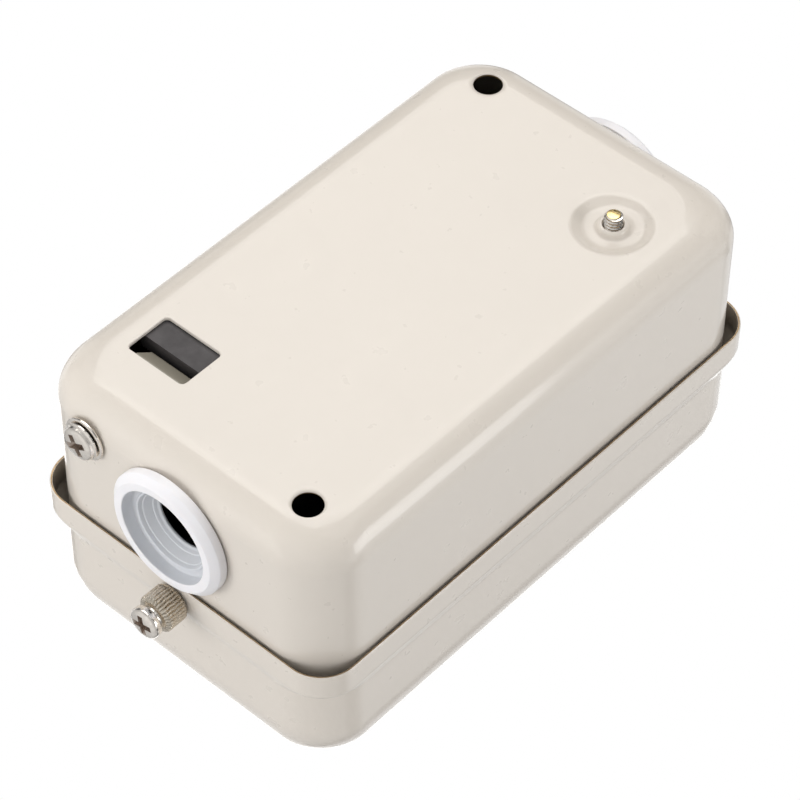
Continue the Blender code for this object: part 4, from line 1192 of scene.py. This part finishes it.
@dataclass
class Studio:
    """A bright, plain room with soft panels, a pale floor and the camera."""

    target: Vector = field(default_factory=lambda: Vector((0.0, -0.045, 0.0)))
    surround: tuple[tuple[float, float], ...] = (
        (0.0, 0.72), (0.42, 0.78), (0.54, 0.42), (0.68, 0.2), (0.85, 0.5), (1.0, 0.75))
    flag_light: tuple[float, float] = (0.2, 1.2)
    floor_z: float = -0.75
    floor_size: float = 12.0
    floor_glow: float = 0.38
    lens: float = 155.93
    eye: Point = (-0.38959, 0.60130, -0.43556)
    ahead: Point = (0.44853, -0.74054, 0.50041)
    down: Point = (-0.49891, -0.67199, -0.54728)

    def build_world(self) -> None:
        """A surround that the camera sees as white; its light sinks behind the case's middle."""
        world = bpy.data.worlds.new("surround")
        world.use_nodes = True
        tree = world.node_tree
        direction = add_node(tree, "TexCoord").outputs["Generated"]
        split = add_node(tree, "SeparateXYZ", vector=direction)
        height = add_node(tree, "MapRange", value=split.outputs["Y"], from_min=-1.0)
        ramp = add_node(tree, "ValToRGB", fac=height.outputs["Result"])
        stops = ramp.color_ramp.elements
        for position, _ in self.surround[1:-1]:
            stops.new(position)
        for stop, (position, value) in zip(stops, self.surround):
            stop.position, stop.color = position, (value, value, value, 1.0)
        background = tree.nodes["Background"]
        tree.links.new(self.add_flags(tree, direction, ramp.outputs["Color"]), background.inputs["Color"])
        plain_white = add_node(tree, "Background", color=(1.0, 1.0, 1.0, 1.0))
        shown = add_node(tree, "MixShader", fac=add_node(tree, "LightPath").outputs["Is Camera Ray"])
        tree.links.new(background.outputs["Background"], shown.inputs[1])
        tree.links.new(plain_white.outputs["Background"], shown.inputs[2])
        tree.links.new(shown.outputs["Shader"], tree.nodes["World Output"].inputs["Surface"])
        bpy.context.scene.world = world
        bpy.context.scene.view_settings.view_transform = "Standard"

    def add_flags(self, tree: bpy.types.NodeTree, direction: Socket, light: Socket) -> Socket:
        """Break up what shiny metal reflects with dark flags hung between the panels.

        Args:
            tree: The surround's node tree.
            direction: The direction a ray leaves in.
            light: The colour of the surround in that direction.

        Returns:
            The colour to show, flagged for reflections only.
        """
        patches = add_node(tree, "TexNoise", vector=direction, scale=2.6, detail=1.0)
        low, high = self.flag_light
        edge = add_node(tree, "MapRange", value=patches.outputs["Fac"], from_min=0.44, from_max=0.54,
                        to_min=low, to_max=high)
        edge.interpolation_type = "SMOOTHSTEP"
        flagged = add_node(tree, "VectorMath")
        flagged.operation = "SCALE"
        tree.links.new(light, flagged.inputs[0])
        tree.links.new(edge.outputs["Result"], flagged.inputs["Scale"])
        pick = add_node(tree, "Mix")
        pick.data_type = "RGBA"
        mirrored = add_node(tree, "LightPath").outputs["Is Glossy Ray"]
        for number, source in ((0, mirrored), (6, light), (7, flagged.outputs[0])):
            tree.links.new(source, pick.inputs[number])
        return pick.outputs[2]

    def build_floor(self) -> None:
        """A plain pale floor well below the hanging case, which glows for the camera only."""
        bm = bmesh.new()
        bmesh.ops.create_grid(bm, x_segments=1, y_segments=1, size=self.floor_size)
        mesh = bpy.data.meshes.new("floor")
        bm.to_mesh(mesh)
        bm.free()
        floor = bpy.data.objects.new("floor", mesh)
        floor.location = (0, 0, self.floor_z)
        bpy.context.scene.collection.objects.link(floor)
        bench = ShaderBench("floor_paint")
        bench.drive("Base Color", bench.blend(bench.noise(3), (0.88, 0.88, 0.88), (0.9, 0.9, 0.9)))
        seen = add_node(bench.tree, "LightPath").outputs["Is Camera Ray"]
        glow = (self.floor_glow,) * 3
        bench.drive("Emission Color", bench.blend(seen, (0.0, 0.0, 0.0), glow))
        bench.set(roughness=0.8, emission_strength=1.0)
        mesh.materials.append(bench.material)

    def add_panel(self, name: str, at: Sequence[float], size: float, power: float,
                  colour: Colour = (1, 1, 1), mirrored: bool = True) -> None:
        """A soft square light panel that faces the case.

        Args:
            name: The panel's name.
            at: Its place.
            size: Its side.
            power: Its light, in watts.
            colour: The light's colour.
            mirrored: Whether glossy surfaces show the panel.
        """
        light = bpy.data.lights.new(name, "AREA")
        light.shape, light.size = "SQUARE", size
        light.energy, light.color = power, colour
        panel = bpy.data.objects.new(name, light)
        panel.location = at
        panel.visible_glossy = mirrored
        panel.rotation_euler = (self.target - Vector(at)).to_track_quat("-Z", "Y").to_euler()
        bpy.context.scene.collection.objects.link(panel)

    def build_lights(self) -> None:
        """Soft panels: behind the case, by its lower end, at one side and before its front."""
        self.add_panel("back_panel", (0.37, 0.9, 0.3), 0.9, 6.3, (1.0, 0.98, 0.95))
        self.add_panel("end_panel", (0.3, 0.05, -0.66), 0.4, 2.0, mirrored=False)
        self.add_panel("side_panel", (-0.95, 0.2, 0.3), 0.5, 3.2)
        self.add_panel("front_panel", (0.5, -1.0, 0.5), 0.8, 2.4)

    def build_camera(self) -> None:
        """A long lens that looks down on the back of the case past its lower end."""
        camera = bpy.data.objects.new("camera", bpy.data.cameras.new("camera"))
        camera.data.lens = self.lens
        camera.data.sensor_width = 36.0
        camera.data.clip_start = 0.05
        forward = Vector(self.ahead).normalized()
        right = Vector(self.down).cross(forward).normalized()
        up = right.cross(forward).normalized()
        turn = Matrix((right, up, -forward)).transposed().to_4x4()
        camera.matrix_world = Matrix.Translation(self.eye) @ turn
        bpy.context.scene.collection.objects.link(camera)
        bpy.context.scene.camera = camera

    def build(self) -> None:
        """Set up the room."""
        self.build_world()
        self.build_floor()
        self.build_lights()
        self.build_camera()


def main() -> None:
    """Build every sub-assembly in order and note how many pieces were made."""
    logging.basicConfig(level=logging.INFO, format="%(name)s: %(message)s")
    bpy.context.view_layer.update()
    shop = Workshop()
    case = PressedCase(shop)
    case.build_base()
    case.build_cover()
    CableGrommets(shop, case).build()
    CaseScrews(shop, case).build()
    FrontControls(shop).build()
    StarterUnit(shop).build()
    Studio().build()
    LOG.info("%d pieces made", len(shop.made))


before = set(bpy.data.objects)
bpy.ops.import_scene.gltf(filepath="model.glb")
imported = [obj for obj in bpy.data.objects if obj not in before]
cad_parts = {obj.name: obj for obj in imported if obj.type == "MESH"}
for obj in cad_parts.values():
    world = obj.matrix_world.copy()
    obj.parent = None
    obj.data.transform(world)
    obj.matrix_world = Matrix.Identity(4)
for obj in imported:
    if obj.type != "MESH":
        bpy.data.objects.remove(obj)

if __name__ == "__main__":
    main()
